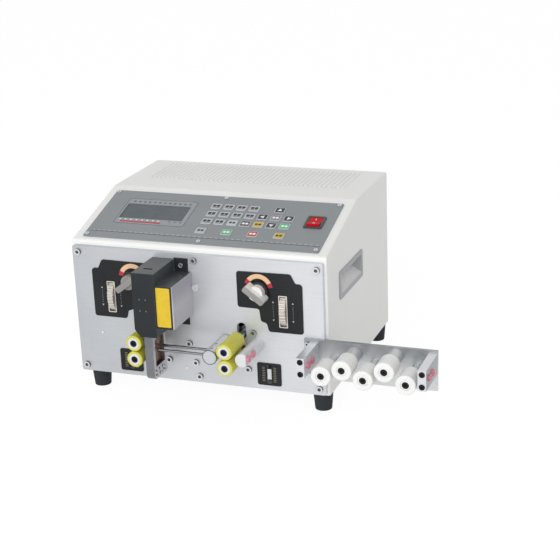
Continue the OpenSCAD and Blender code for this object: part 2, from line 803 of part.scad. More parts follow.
// Guide blocks at both ends of the straightener
module guide_blocks() color("#c6c8c8") for (x = block_x) difference() {
  block(x, x + block_w, rail_y - block_d, rail_y, wire_z - block_h / 2, wire_z + block_h / 2);
  funnel_holes(x - 1, x + block_w + 1);
  for (z = [-9, 9]) rod_y(x + block_w / 2, wire_z + z, 8.6, rail_y - block_d - 1,
    rail_y - block_d + 4);
}

// Black bolt that carries one roller
module roller_bolt(x, z, y1) {
  difference() {
    rod_y(x, z, bolt_d + 4, nylon_y - nylon_l + 1.5, nylon_y - nylon_l + 6.5);
    translate([x, nylon_y - nylon_l + 4.5, z]) rotate([90, 0, 0])
      cylinder(d = 5, h = 9, $fn = 6);
  }
  rod_y(x, z, bolt_d, nylon_y - nylon_l + 6, y1);
}

// Bolts of the fixed rollers and screws of the guide blocks
module straightener_bolts() color("#202124") {
  for (i = [0, 2, 4]) {
    roller_bolt(nylon_x + i * nylon_pitch, wire_z - nylon_low, plate_y + 5);
    rod_y(nylon_x + i * nylon_pitch, wire_z - nylon_low, 14, plate_y, plate_y + 5);
  }
  for (x = block_x, z = [-9, 9]) difference() {
    rod_y(x + block_w / 2, wire_z + z, 8, rail_y - block_d - 1, rail_y - block_d + 4);
    translate([x + block_w / 2, rail_y - block_d + 1.5, wire_z + z]) rotate([90, 0, 0])
      cylinder(d = 4.4, h = 9, $fn = 6);
  }
}

// Outline of the belt loop round both pulleys
module belt_loop(r) {
  for (y = [lead_y, blade_motor_y]) translate([-frame_x, y]) circle(r = r);
  translate([-frame_x - r, lead_y]) square([2 * r, blade_motor_y - lead_y]);
}

// Toothed belt from the blade motor to the blade screw
module drive_belt() color("#1e1e1e") translate([0, 0, belt_z - belt_w / 2])
  linear_extrude(height = belt_w) difference() {
    belt_loop(pulley_d / 2 + 0.3 + belt_t);
    belt_loop(pulley_d / 2 + 0.3);
  }

// One belt pulley about an upright axis
module pulley() {
  h = belt_w + 1;
  translate([0, 0, -h / 2]) cylinder(d = pulley_d, h = h);
  for (z = [-h / 2 - 1, h / 2]) translate([0, 0, z]) cylinder(d = pulley_d + 4, h = 1);
}

// Control board on spacers
module main_board() color("#2f6b47") {
  z = floor_z + sheet;
  block(30, 170, 10, 120, z + 8, z + 9.6);
  for (x = [36, 164], y = [16, 114]) translate([x, y, z]) cylinder(d = 7, h = 9);
  block(40, 100, 24, 36, z + 9, z + 38);
  block(116, 160, 96, 106, z + 9, z + 20);
  for (x = [50, 70, 90]) translate([x, 90, z + 9]) cylinder(d = 16, h = 24);
}

// Mains transformer bolted to the floor
module power_supply() color("#6f7173") {
  z = floor_z + sheet;
  block(-150, -70, 30, 96, z, z + 68);
  block(-138, -82, 18, 108, z + 10, z + 58);
  block(-156, -64, 40, 86, z, z + 3);
}

// Frame of the rear fan
module fan_frame() color("#222326") difference() {
  union() {
    along_y(rear_y - sheet - fan_t, rear_y - sheet) translate([fan_x, fan_z]) difference() {
      pad(fan_w, fan_w, 5);
      circle(d = fan_w - 4);
    }
    along_y(rear_y - sheet - 4, rear_y - sheet) translate([fan_x, fan_z]) {
      circle(d = 34);
      square([fan_w - 3, 6], center = true);
      square([6, fan_w - 3], center = true);
    }
  }
  rod_y(fan_x, fan_z, 4 + 2 * run_fit, rear_y - sheet - 5, rear_y);
}

// Hub and blades of the rear fan
module fan_rotor() color("#303236") {
  y = rear_y - sheet - fan_t + 2;
  rod_y(fan_x, fan_z, 32, y, y + 17);
  rod_y(fan_x, fan_z, 4, y + 16, rear_y - sheet - 0.5);
  for (a = [0 : 360 / 7 : 359]) translate([fan_x, y + 8.5, fan_z]) rotate([0, a, 0])
    translate([25, 0, 0]) rotate([40, 0, 0]) cube([22, 1.6, 20], center = true);
}

// Mains inlet in the rear wall
module power_inlet() color("#1b1b1d") difference() {
  union() {
    block(plug_x - 24, plug_x + 24, rear_y, rear_y + 1.5, inlet_z - 14, inlet_z + 14);
    block(plug_x - 13.7, plug_x + 13.7, rear_y - 24, rear_y + 1, inlet_z - 9.7, inlet_z + 9.7);
  }
  difference() {
    block(plug_x - 12, plug_x + 12, rear_y - 16, rear_y + 2, inlet_z - 8, inlet_z + 8);
    for (p = [[-7, -3], [0, 3], [7, -3]])
      block(plug_x + p.x - 1, plug_x + p.x + 1, rear_y - 17, rear_y - 3,
        inlet_z + p.y - 2, inlet_z + p.y + 2);
  }
}

// Gearmotor that swings the tube boss
module swing_actuator() color("#4a4d50") difference() {
  union() {
    block(boss_x - 17, boss_x + 9, y_front + 3, y_front + 45, wire_z - 33, wire_z + 5.5);
    rod_y(boss_x, wire_z, 11, y_front, y_front + 4);
  }
  rod_y(boss_x, wire_z, axle_d + 2 * run_fit, y_front - 1, y_front + 14);
}

// Rubber sleeve of a feed roller
module tyre(z) translate([feed_x, roller_y, z]) rotate([-90, 0, 0]) rotate_extrude()
  polygon([[hub_d / 2, 0], [roller_d / 2 - 1, 0], [roller_d / 2, 1],
    [roller_d / 2, roller_len - 1], [roller_d / 2 - 1, roller_len], [hub_d / 2, roller_len]]);

// Steel hub, shaft and gear of a feed roller, axis at a height
module feed_shaft(z, y1, turn) {
  difference() {
    rod_y(feed_x, z, hub_d, roller_y + 0.4, roller_y + roller_len);
    rod_y(feed_x, z, 11, roller_y, roller_y + 5);
  }
  rod_y(feed_x, z, shaft_d, roller_y + roller_len - 1, y1);
  along_y(gear_y, gear_y + gear_w) translate([feed_x, z]) rotate(turn)
    gear(feed_teeth, feed_module);
}

// Arm that carries an upper roller, with a hook over the cam
module lift_arm() {
  p = feed_x - arm_len;
  difference() {
    union() {
      along_y(arm_y, arm_y + arm_t) {
        translate([p, upper_z]) circle(d = 18);
        translate([p, upper_z - arm_bar / 2]) square([column_x + column_w - p, arm_bar]);
        translate([column_x, upper_z - arm_bar / 2])
          square([column_w, knob_z + follower_h + 8 - upper_z + arm_bar / 2]);
        translate([column_x, knob_z + follower_h]) square([36, 8]);
      }
      rod_y(p, upper_z, 16, arm_y - 2, arm_y + 18);
      rod_y(feed_x, upper_z, shaft_d + 9, arm_y - 2, gear_y - 4);
    }
    rod_y(p, upper_z, pivot_d + 2 * run_fit, arm_y - 3, arm_y + 19);
    rod_y(feed_x, upper_z, shaft_d + 2 * run_fit, arm_y - 3, gear_y);
  }
}

// Snail cam with its lobe pointing outwards at rest
cam_outline = [for (a = [0 : 6 : 354])
  (a < 90 ? cam_r + cam_rise * (1 - a / 90) : a < 270 ? cam_r :
    cam_r + cam_rise * (a - 270) / 90) * [cos(a), sin(a)]];

// Release knob, its shaft and the cam behind the plate
module release_knob() {
  rod_y(knob_x, knob_z, knob_d, scale_y - 5.4, scale_y - 0.4);
  rod_y(knob_x, knob_z, knob_d - 6, scale_y - 16, scale_y - 5);
  along_y(scale_y - 26, scale_y - 5) translate([knob_x, knob_z]) rotate(-37)
    pad(knob_d + 8, 9, 3);
  rod_y(knob_x, knob_z, knob_shaft, scale_y - 0.4, arm_y + arm_t + 1);
  along_y(arm_y - 1, arm_y + arm_t + 1) translate([knob_x, knob_z]) polygon(cam_outline);
}

// Knurled gap wheel with its axle and pinion
module gap_wheel() translate([wheel_x, wheel_y, wheel_z]) {
  along_x(-wheel_w / 2, wheel_w / 2) difference() {
    circle(d = wheel_d);
    for (a = [0 : 10 : 350]) rotate(a) translate([wheel_d / 2 + 0.8, 0]) circle(d = 3.4, $fn = 16);
  }
  rod_x(0, 0, axle_d, -12, 19.5);
  along_x(wheel_w / 2, 13) gear(pinion_teeth, rack_module);
}

// Rack behind the wheel with the gap pointer on its foot
module gap_rack() {
  m = rack_module;
  y = wheel_y + pinion_r;
  pitch = PI * m;
  along_x(wheel_x + wheel_w / 2 + 1, wheel_x + 12.5) {
    translate([y + 1.1 * m, pointer_z - 4]) square([7, wheel_z + 20 - pointer_z]);
    for (i = [-5 : 4]) translate([y, wheel_z + (i + 0.5) * pitch])
      polygon([[1.2 * m, -1.12 * m], [-0.8 * m, -0.36 * m], [-0.8 * m, 0.36 * m],
        [1.2 * m, 1.12 * m]]);
  }
  block(pointer_x - pointer_w / 2, wheel_x + 12.5, y + 1.1 * m, y + 1.1 * m + 7,
    pointer_z - 4, pointer_z + 4);
  block(pointer_x - pointer_w / 2, pointer_x + pointer_w / 2, plate_y - 0.6, y + 2 * m,
    pointer_z - pointer_l / 2, pointer_z + pointer_l / 2);
}

// Brackets a nut with its arm on a blade slide
module nut_arm(x, z) difference() {
  union() {
    block(x, x + slide_t, channel_y1 - slide_fit - 1, lead_y - 7, z, z + nut_h);
    block(-frame_x - 8, -frame_x + 8, lead_y - 8.5, lead_y + 8.5, z, z + nut_h);
  }
  translate([-frame_x, lead_y, z - 1]) cylinder(d = lead_d + 2 * run_fit, h = nut_h + 2);
}

blade_y0 = channel_y0 + slide_fit;
blade_y1 = channel_y1 - slide_fit;

// Slide that carries the upper blade
module upper_blade_slide() color("#b7874a") {
  block(upper_slide_x, upper_slide_x + slide_t, blade_y0, blade_y1, wire_z + 23,
    upper_nut_z + nut_h + 4);
  nut_arm(upper_slide_x, upper_nut_z);
}

// Slide that carries the lower blade, with a window for the wires
module lower_blade_slide() color("#b7874a") {
  difference() {
    block(lower_slide_x, lower_slide_x + slide_t, blade_y0, blade_y1, frame_low + 6,
      lower_nut_z + nut_h + 4);
    block(lower_slide_x - 1, lower_slide_x + slide_t + 1, blade_y0 + 3, blade_y1 - 3,
      wire_z - 23, wire_z + 25);
  }
  nut_arm(lower_slide_x, lower_nut_z);
}

// Blade blank with a notch for each wire, its edge upwards
module blade(x, y0, y1, tail, tip) along_x(x, x + slide_t) difference() {
  translate([y0, tail]) square([y1 - y0, tip - tail]);
  for (y = wire_y) translate([y, tip - notch])
    polygon([[0, 0], [notch + 1, notch + 1], [-notch - 1, notch + 1]]);
}

// Upper blade, edge down
module upper_blade() color("#d5d8da") translate([0, 0, 2 * wire_z]) mirror([0, 0, 1])
  blade(upper_slide_x, blade_y0, blade_y1, wire_z - 23, tip_lower);

// Lower blade, edge up
module lower_blade() color("#d5d8da")
  blade(lower_slide_x, blade_y0 + 3.4, blade_y1 - 3.4, wire_z - 23, tip_lower);

// Right and left hand screw that closes the blades
module blade_screw() color("#8f9294") translate([-frame_x, lead_y, 0]) {
  translate([0, 0, bridge_z[0] + 1]) cylinder(d = lead_d, h = belt_z - bridge_z[0]);
  translate([0, 0, belt_z]) pulley();
}

// Pulley on the blade motor
module motor_pulley() color("#8f9294") translate([-frame_x, blade_motor_y, 0]) {
  translate([0, 0, belt_z - 13]) cylinder(d = 5, h = 13);
  translate([0, 0, belt_z]) pulley();
}

// Swinging boss that holds the guide tubes
module tube_boss() color("#c3c6c8") difference() {
  union() {
    rod_y(boss_x, wire_z, boss_d, plate_y - 65, plate_y - 2);
    rod_y(boss_x, wire_z, axle_d, plate_y - 3, y_front + 13);
  }
  for (y = wire_y) {
    rod_x(y, wire_z, tube_d + 2 * run_fit, boss_x - 20, boss_x + 20);
    translate([boss_x, y, wire_z + 5]) cylinder(d = 4.2, h = 20);
  }
}

// Two steel tubes that lead the wires to the blades
module guide_tubes() color("#d3d6d8") for (y = wire_y) difference() {
  rod_x(y, wire_z, tube_d, frame_r + 0.5, boss_x + 11);
  rod_x(y, wire_z, tube_d - 1.4, frame_r - 1, boss_x + 12);
}

// Nylon roller of the straightener
module nylon_roller(i) color("#f1f0ea") {
  translate([nylon_x + i * nylon_pitch, nylon_y - nylon_l, nylon_z(i)]) rotate([-90, 0, 0])
    difference() {
      rotate_extrude() polygon([[0, 0], [nylon_d / 2 - 1.2, 0], [nylon_d / 2, 1.2],
        [nylon_d / 2, nylon_l - 1.2], [nylon_d / 2 - 1.2, nylon_l], [0, nylon_l]]);
      translate([0, 0, -1]) cylinder(d = bolt_d + 2 * run_fit, h = nylon_l + 2);
      translate([0, 0, -1]) cylinder(d = bolt_d + 8.5, h = 8);
    }
}

// Axle of an adjustable roller, clamped in its slot
module adjuster_axle(i) color("#2a2b2e") {
  x = nylon_x + i * nylon_pitch;
  z = nylon_z(i);
  roller_bolt(x, z, plate_y + 6);
  difference() {
    rod_y(x, z, collar_d, nylon_y + 0.5, rail_y - slide_fit);
    rod_y(x, z, bolt_d - 1, nylon_y - 1, rail_y);
  }
  rod_y(x, z, sleeve_d, plate_y + slide_fit, plate_y + 5);
}

module mirrored() mirror([1, 0, 0]) children();

place() chassis_pan();
place() case_shell();
place() front_plate();
place() rubber_feet();
place() machine_screws();
place() control_panel();
place() lcd_display();
place() switch_frame();
place() rocker_button();
place() side_handles();
place() scale_plates();
place() drive_frame();
place() shaft_bushes();
place() stepper_motors();
place() blade_frame();
place() blade_guard();
place() guard_side_plate();
place() inlet_guide();
place() wire_funnels();
place() straightener_bracket();
place() guide_blocks();
place() straightener_bolts();
place() drive_belt();
place() main_board();
place() power_supply();
place() fan_frame();
place() power_inlet();
place() swing_actuator();
place() color("#c4c243") tyre(lower_z);  // infeed_lower_tyre
place() color("#cfd1d0") feed_shaft(lower_z, drive_y + drive_t - 0.5, 90);  // infeed_lower_shaft
place() color("#c4c243") tyre(upper_z);  // infeed_upper_tyre
place() color("#cfd1d0") feed_shaft(upper_z, gear_y + gear_w + 2, 180 / feed_teeth - 90);  // infeed_upper_shaft
place() color("#8e9194") lift_arm();  // infeed_lift_arm
place() color("#d9d9d6") release_knob();  // infeed_release_knob
place() color("#c8cacb") gap_wheel();  // infeed_gap_wheel
place() color("#d0d2d3") gap_rack();  // infeed_gap_rack
place() mirrored() color("#c4c243") tyre(lower_z);  // outfeed_lower_tyre
place() mirrored() color("#cfd1d0") feed_shaft(lower_z, drive_y + drive_t - 0.5, 90);  // outfeed_lower_shaft
place() mirrored() color("#c4c243") tyre(upper_z);  // outfeed_upper_tyre
place() mirrored() color("#cfd1d0")  // outfeed_upper_shaft
    feed_shaft(upper_z, gear_y + gear_w + 2, 180 / feed_teeth - 90);
place() mirrored() color("#8e9194") lift_arm();  // outfeed_lift_arm
place() mirrored() color("#d9d9d6") release_knob();  // outfeed_release_knob
place() mirrored() color("#c8cacb") gap_wheel();  // outfeed_gap_wheel
place() mirrored() color("#d0d2d3") gap_rack();  // outfeed_gap_rack
place() blade_screw();
place() upper_blade_slide();
place() upper_blade();
place() lower_blade_slide();
place() lower_blade();
place() motor_pulley();
place() tube_boss();
place() guide_tubes();
place() nylon_roller(0);  // straightener_roller_1
place() nylon_roller(1);  // straightener_roller_2
place() nylon_roller(2);  // straightener_roller_3
place() nylon_roller(3);  // straightener_roller_4
place() nylon_roller(4);  // straightener_roller_5
place() adjuster_axle(1);  // adjuster_axle_1
place() adjuster_axle(3);  // adjuster_axle_2
place() fan_rotor();
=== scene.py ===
import json
import math

import bpy
from mathutils import Matrix, Vector


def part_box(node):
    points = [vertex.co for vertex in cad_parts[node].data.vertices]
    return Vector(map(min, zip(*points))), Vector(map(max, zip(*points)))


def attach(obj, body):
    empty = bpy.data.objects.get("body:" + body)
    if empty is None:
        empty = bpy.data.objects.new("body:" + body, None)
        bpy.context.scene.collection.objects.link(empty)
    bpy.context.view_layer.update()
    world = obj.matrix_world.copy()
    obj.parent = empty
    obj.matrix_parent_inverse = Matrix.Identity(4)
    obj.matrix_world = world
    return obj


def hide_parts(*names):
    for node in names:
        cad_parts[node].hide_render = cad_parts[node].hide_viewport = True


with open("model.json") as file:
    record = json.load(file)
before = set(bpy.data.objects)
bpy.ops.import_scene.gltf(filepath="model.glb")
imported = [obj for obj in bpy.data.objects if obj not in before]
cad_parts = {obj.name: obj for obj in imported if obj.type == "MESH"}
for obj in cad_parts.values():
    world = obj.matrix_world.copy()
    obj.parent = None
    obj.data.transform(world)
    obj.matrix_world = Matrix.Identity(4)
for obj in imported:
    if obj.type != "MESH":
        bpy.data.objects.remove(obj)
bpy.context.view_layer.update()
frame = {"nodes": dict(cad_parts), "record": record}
nodes = frame["nodes"]
bodyOf = {node: body for body, held in frame["record"]["behaviour"]["bodies"].items() for node in held}
slotOf = {part["node"]: part["material_slot"] for part in frame["record"]["subparts"]}
print("frame loaded:", len(nodes), "nodes")


# places, in millimetres of the case

mm = 0.001
plateHome = Vector((0, -167, 25)) * mm  # middle of the plate's lower front edge, as counted below
slope = {"edge": (0, -159, 232), "tilt": 15.796}  # front edge of the sloping panel, degrees
plateLow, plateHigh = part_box("front_plate")
caseMiddle = Vector(((plateLow.x + plateHigh.x) / 2, plateLow.y, plateLow.z)) - plateHome


def at(x, y, z):  # a point of the case
    return caseMiddle + Vector((x, y, z)) * mm


def moved(x, y, z):
    return Matrix.Translation(Vector((x, y, z)) * mm)


def turned(degrees, axis):
    return Matrix.Rotation(math.radians(degrees), 4, axis)


def frontFace(x, y, z, turn=0):  # flat work stood up to face the front
    return Matrix.Translation(at(x, y, z)) @ turned(90, "X") @ turned(turn, "Z")


def rearFace(x, y, z):  # flat work stood up to face the rear
    return Matrix.Translation(at(x, y, z)) @ turned(180, "Z") @ turned(90, "X")


def sideFace(x, y, z):  # flat work stood up to face the right
    return Matrix.Translation(at(x, y, z)) @ turned(90, "Y")


def slopeFace(x, s, h, turn=0):  # flat work laid on the sloping panel, s up the slope and h out of it
    home = Matrix.Translation(at(*slope["edge"])) @ turned(slope["tilt"], "X")
    return home @ moved(x, s, h) @ turned(turn, "Z")


# shader helpers

def setSockets(node, values):
    for key, value in values.items():
        node.inputs[key].default_value = value


def addNode(tree, kind, values=None, **settings):
    node = tree.nodes.new("ShaderNode" + kind)
    for key, value in settings.items():
        setattr(node, key, value)
    setSockets(node, values or {})
    return node


# camera and light

cameraView = {"azimuth": 20.36, "elevation": 19.09, "roll": -2.22, "distance": 2.147,
              "target": (70.35, 0, 135.2), "lens": 88.8, "sensor": 36}
studio = {"lamps": {"keyLamp": (30, 2.4, (-0.15, -2.6, 1.2)),  # power, width, place
                    "fillLamp": (13.5, 1.8, (0.3, -2.6, 0.3))},
          "aim": (0.0, 0.0, 0.14), "skyLevel": 0.64,
          "floorSize": 20, "floorShade": 0.9, "floorWhite": 0.9, "floorGlow": 1.04}


def setCamera():
    around, above, roll = (math.radians(cameraView[k]) for k in ("azimuth", "elevation", "roll"))
    back = Vector((math.sin(around) * math.cos(above), -math.cos(around) * math.cos(above),
                   math.sin(above)))
    right = Vector((math.cos(around), math.sin(around), 0))
    up = back.cross(right)
    tiltedRight = right * math.cos(roll) + up * math.sin(roll)
    tiltedUp = up * math.cos(roll) - right * math.sin(roll)
    lens = bpy.data.cameras.new("photoCamera")
    lens.lens = cameraView["lens"]
    lens.sensor_width = cameraView["sensor"]
    camera = bpy.data.objects.new("photoCamera", lens)
    bpy.context.scene.collection.objects.link(camera)
    turn = Matrix((tiltedRight, tiltedUp, back)).transposed().to_4x4()
    eye = at(*cameraView["target"]) + back * cameraView["distance"]
    camera.matrix_world = Matrix.Translation(eye) @ turn
    bpy.context.scene.camera = camera


def seenByEye(tree):  # one for rays that show the backdrop, nought for those that light the part
    path = addNode(tree, "LightPath")
    shown = path.outputs["Is Camera Ray"]
    for kind in ("Is Glossy Ray", "Is Transmission Ray"):
        either = addNode(tree, "Math", operation="MAXIMUM")
        tree.links.new(shown, either.inputs[0])
        tree.links.new(path.outputs[kind], either.inputs[1])
        shown = either.outputs[0]
    return shown


def mixShaders(tree, share, first, second):
    mix = addNode(tree, "MixShader")
    tree.links.new(share, mix.inputs[0])
    tree.links.new(first.outputs[0], mix.inputs[1])
    tree.links.new(second.outputs[0], mix.inputs[2])
    return mix.outputs[0]


def setSky(scene):
    world = bpy.data.worlds.new("studioWorld")
    scene.world = world
    world.use_nodes = True
    tree = world.node_tree
    sky = tree.nodes["Background"]
    setSockets(sky, {"Color": (1, 1, 1, 1), "Strength": studio["skyLevel"]})
    white = addNode(tree, "Background", {"Color": (1, 1, 1, 1)})
    backdrop = mixShaders(tree, seenByEye(tree), sky, white)
    tree.links.new(backdrop, tree.nodes["World Output"].inputs["Surface"])


def setLamps(scene):
    for name, (power, wide, place) in studio["lamps"].items():
        light = bpy.data.lights.new(name, "AREA")
        light.energy = power
        light.size = wide
        lamp = bpy.data.objects.new(name, light)
        scene.collection.objects.link(lamp)
        lamp.location = place
        lamp.rotation_euler = (lamp.location - Vector(studio["aim"])).to_track_quat("Z", "Y").to_euler()


def setFloor():
    bpy.ops.object.select_all(action="DESELECT")
    bpy.ops.mesh.primitive_plane_add(size=studio["floorSize"])
    floor = bpy.context.object
    floor.name = "studioFloor"
    paper = bpy.data.materials.new("floorPaper")
    paper.use_nodes = True
    tree = paper.node_tree
    tree.nodes.remove(tree.nodes["Principled BSDF"])
    matt = addNode(tree, "BsdfDiffuse", {"Color": (studio["floorShade"],) * 3 + (1,)})
    glow = addNode(tree, "Emission", {"Strength": studio["floorGlow"]})
    share = addNode(tree, "Math", {1: studio["floorWhite"]}, operation="MULTIPLY")
    tree.links.new(seenByEye(tree), share.inputs[0])
    sheet = mixShaders(tree, share.outputs[0], matt, glow)
    tree.links.new(sheet, tree.nodes["Material Output"].inputs["Surface"])
    floor.data.materials.append(paper)


setCamera()
bpy.context.scene.view_settings.view_transform = "Standard"
setSky(bpy.context.scene)
setLamps(bpy.context.scene)
setFloor()
print("camera and studio set")


# finishes

surface = {  # what all finishes share
    "fineDetail": 3, "broadDetail": 2, "fineShare": 0.5, "noiseSpan": (0.32, 0.68), "sheenSpread": 0.06,
    "smoothest": 0.03, "coatRough": 0.12, "softReach": (1, 0.8, 0.5), "softScale": 0.002,
    "sweepNoise": 0.3, "rubAndHighlightSpan": (0.995, 0.85), "rubAndHighlightSamples": 4}
plateShadeSweep = ("X", plateLow.x - 50 * mm, plateHigh.x + 30 * mm)  # painted shade: the plate is darker to the left and lighter to the right


def heights(darkEnd, lightEnd):  # a sweep of painted shade between two heights of the case
    return "Z", at(0, 0, darkEnd).z, at(0, 0, lightEnd).z


def screen(shade):  # screen colour, 0 to 255, to scene colour
    steps = (c / 255 for c in shade)
    return tuple(((c + 0.055) / 1.055) ** 2.4 if c > 0.04 else c / 12.92 for c in steps) + (1,)


def makeFinish(name, dark, light, rough, metal=0.0, grain=400, patch=14, bump=0.1, depth=0.2, gloss=0.5,
               coat=0.0, soft=0.0, edgeWearAndHighlight=None, edgeWearAndHighlightWidth=0.7, sweep=None):
    finish = bpy.data.materials.new(name)
    finish.use_nodes = True
    tree = finish.node_tree
    link = tree.links.new
    shader = tree.nodes["Principled BSDF"]
    setSockets(shader, {"Metallic": metal, "Specular IOR Level": gloss, "Coat Weight": coat,
                        "Coat Roughness": surface["coatRough"]})
    if soft:
        setSockets(shader, {"Subsurface Weight": soft, "Subsurface Radius": surface["softReach"],
                            "Subsurface Scale": surface["softScale"]})
    coords = addNode(tree, "TexCoord").outputs["Object"]
    stretch = addNode(tree, "Mapping", {"Scale": grain if isinstance(grain, tuple) else (grain,) * 3})
    link(coords, stretch.inputs["Vector"])
    fine = addNode(tree, "TexNoise", {"Scale": 1, "Detail": surface["fineDetail"]})  # grain of the surface
    link(stretch.outputs[0], fine.inputs["Vector"])
    broad = addNode(tree, "TexNoise", {"Scale": patch, "Detail": surface["broadDetail"]})  # slow drift
    link(coords, broad.inputs["Vector"])
    blend = addNode(tree, "Mix", {"Factor": surface["fineShare"]})
    link(broad.outputs["Fac"], blend.inputs["A"])
    link(fine.outputs["Fac"], blend.inputs["B"])
    low, high = surface["noiseSpan"]
    widen = addNode(tree, "MapRange", {"From Min": low, "From Max": high})
    link(blend.outputs["Result"], widen.inputs["Value"])
    shift = widen.outputs[0]
    if sweep:  # painted shade: darker at one end of an axis, lighter at the other
        axis, darkEnd, lightEnd = sweep
        apart = addNode(tree, "SeparateXYZ")
        link(coords, apart.inputs[0])
        across = addNode(tree, "MapRange", {"From Min": darkEnd, "From Max": lightEnd})
        link(apart.outputs[axis], across.inputs["Value"])
        weigh = addNode(tree, "Mix", {"Factor": surface["sweepNoise"]})
        link(across.outputs[0], weigh.inputs["A"])
        link(widen.outputs[0], weigh.inputs["B"])
        shift = weigh.outputs["Result"]
    tint = addNode(tree, "Mix", {"A": screen(dark), "B": screen(light)}, data_type="RGBA")
    link(shift, tint.inputs["Factor"])
    colour = tint.outputs["Result"]
    if edgeWearAndHighlight:  # paint rubbed thin along the edges, and a painted highlight along them
        edge = addNode(tree, "Bevel", {"Radius": edgeWearAndHighlightWidth * mm}, samples=surface["rubAndHighlightSamples"])
        facing = addNode(tree, "NewGeometry")
        meet = addNode(tree, "VectorMath", operation="DOT_PRODUCT")
        link(edge.outputs[0], meet.inputs[0])
        link(facing.outputs["Normal"], meet.inputs[1])
        whole, bare = surface["rubAndHighlightSpan"]
        rubAndHighlight = addNode(tree, "MapRange", {"From Min": whole, "From Max": bare})
        link(meet.outputs["Value"], rubAndHighlight.inputs["Value"])
        patchy = addNode(tree, "Math", operation="MULTIPLY")
        link(rubAndHighlight.outputs[0], patchy.inputs[0])
        link(widen.outputs[0], patchy.inputs[1])
        rubbedAndLit = addNode(tree, "Mix", {"B": screen(edgeWearAndHighlight)}, data_type="RGBA")
        link(colour, rubbedAndLit.inputs["A"])
        link(patchy.outputs[0], rubbedAndLit.inputs["Factor"])
        colour = rubbedAndLit.outputs["Result"]
    link(colour, shader.inputs["Base Color"])
    sheen = addNode(tree, "MapRange", {"To Min": max(rough - surface["sheenSpread"], surface["smoothest"]),
                                       "To Max": min(rough + surface["sheenSpread"], 1)})
    link(widen.outputs[0], sheen.inputs["Value"])
    link(sheen.outputs[0], shader.inputs["Roughness"])
    relief = addNode(tree, "Bump", {"Strength": bump, "Distance": depth * mm})
    link(fine.outputs["Fac"], relief.inputs["Height"])
    link(relief.outputs[0], shader.inputs["Normal"])
    return finish


finishes = {  # one for each material of the part
    "case_paint": makeFinish("casePaint", (236, 236, 234), (242, 242, 241), 0.42, grain=900, patch=6,
                             bump=0.12, depth=0.15),
    "plate_aluminium": makeFinish("brushedPlate", (174, 177, 182), (219, 221, 224), 0.36, metal=0.5,
                                  grain=(30, 900, 2200), patch=7, bump=0.06, depth=0.04, sweep=plateShadeSweep),
    "foot_rubber": makeFinish("footRubber", (30, 35, 37), (48, 54, 57), 0.75, grain=700, bump=0.3,
                              gloss=0.3),
    "bright_steel": makeFinish("brightSteel", (200, 202, 205), (218, 220, 222), 0.28, metal=0.85,
                               grain=(900, 200, 900), bump=0.02, depth=0.04),
    "panel_grey": makeFinish("panelFilm", (135, 140, 143), (143, 148, 151), 0.5, grain=1500, patch=10,
                             bump=0.1, depth=0.05, gloss=0.35),
    "display_glass": makeFinish("displayGlass", (84, 92, 98), (100, 108, 114), 0.15, grain=(260, 700, 700),
                                bump=0.0, coat=0.08, gloss=0.2),
    "black_plastic": makeFinish("blackPlastic", (36, 38, 40), (50, 52, 54), 0.45, grain=1100, bump=0.2,
                                gloss=0.35),
    "red_plastic": makeFinish("redPlastic", (184, 16, 28), (208, 28, 40), 0.4, grain=120, bump=0.03,
                              gloss=0.08),
    "black_anodised": makeFinish("blackAnodised", (20, 22, 24), (34, 37, 39), 0.42,
                                 grain=(300, 1200, 1200), bump=0.1, depth=0.05, gloss=0.25,
                                 edgeWearAndHighlight=(110, 112, 114), edgeWearAndHighlightWidth=0.3),
    "bronze": makeFinish("bearingBronze", (104, 62, 44), (142, 90, 64), 0.35, metal=0.7,
                         grain=(900, 300, 900)),
    "motor_black": makeFinish("motorEnamel", (52, 54, 57), (74, 76, 80), 0.5, grain=500, bump=0.15),
    "frame_steel": makeFinish("groundSteel", (104, 106, 109), (140, 142, 145), 0.35, metal=0.8,
                              grain=(700, 60, 1400), bump=0.1, depth=0.06),
    "guard_black": makeFinish("guardPaint", (25, 29, 32), (38, 43, 46), 0.38, grain=900, bump=0.15,
                              depth=0.12, gloss=0.3, edgeWearAndHighlight=(112, 116, 118), edgeWearAndHighlightWidth=0.5),
    "white_nylon": makeFinish("whiteNylon", (230, 230, 228), (240, 240, 238), 0.45, grain=(500, 120, 500),
                              bump=0.06, soft=0.15),
    "pink_bush": makeFinish("pinkBush", (206, 112, 138), (232, 150, 170), 0.3, grain=300, bump=0.04,
                            soft=0.2),
    "black_steel": makeFinish("blackOxide", (26, 27, 29), (48, 49, 52), 0.4, metal=0.5, grain=900,
                              gloss=0.3),
    "board_green": makeFinish("circuitBoard", (24, 92, 52), (44, 128, 76), 0.4, grain=900),
    "roller_rubber": makeFinish("rollerRubber", (196, 192, 60), (222, 218, 94), 0.42,
                                grain=(260, 700, 260), bump=0.2, soft=0.2),
    "knob_silver": makeFinish("knobSilver", (226, 226, 224), (240, 240, 238), 0.38, metal=0.12,
                              grain=(300, 900, 300), bump=0.02, depth=0.05),
    "blade_steel": makeFinish("bladeSteel", (118, 90, 78), (160, 130, 114), 0.3, metal=0.95,
                              grain=(900, 900, 90)),
}
for name, node in nodes.items():
    node.material_slots[0].material = finishes[slotOf[name]]


def plainPaint(name, shade, rough=0.45, **more):  # printed or moulded colour with a little drift
    drift = 7
    dark = tuple(max(0, c - drift) for c in shade)
    light = tuple(min(255, c + drift) for c in shade)
    return makeFinish(name, dark, light, rough, grain=1400, patch=30, bump=0.06, depth=0.04, **more)


inkShades = {"dark": (30, 32, 36), "white": (236, 236, 234), "red": (184, 34, 56),
             "cream": (233, 190, 150), "sand": (150, 142, 122), "pale": (176, 180, 183),
             "line": (84, 88, 92)}
inks = {name: plainPaint("ink" + name.capitalize(), shade) for name, shade in inkShades.items()}
deepBlack = plainPaint("deepBlack", (24, 26, 34), 0.5, gloss=0.2)
print("finishes made:", len(finishes) + len(inks) + 1)

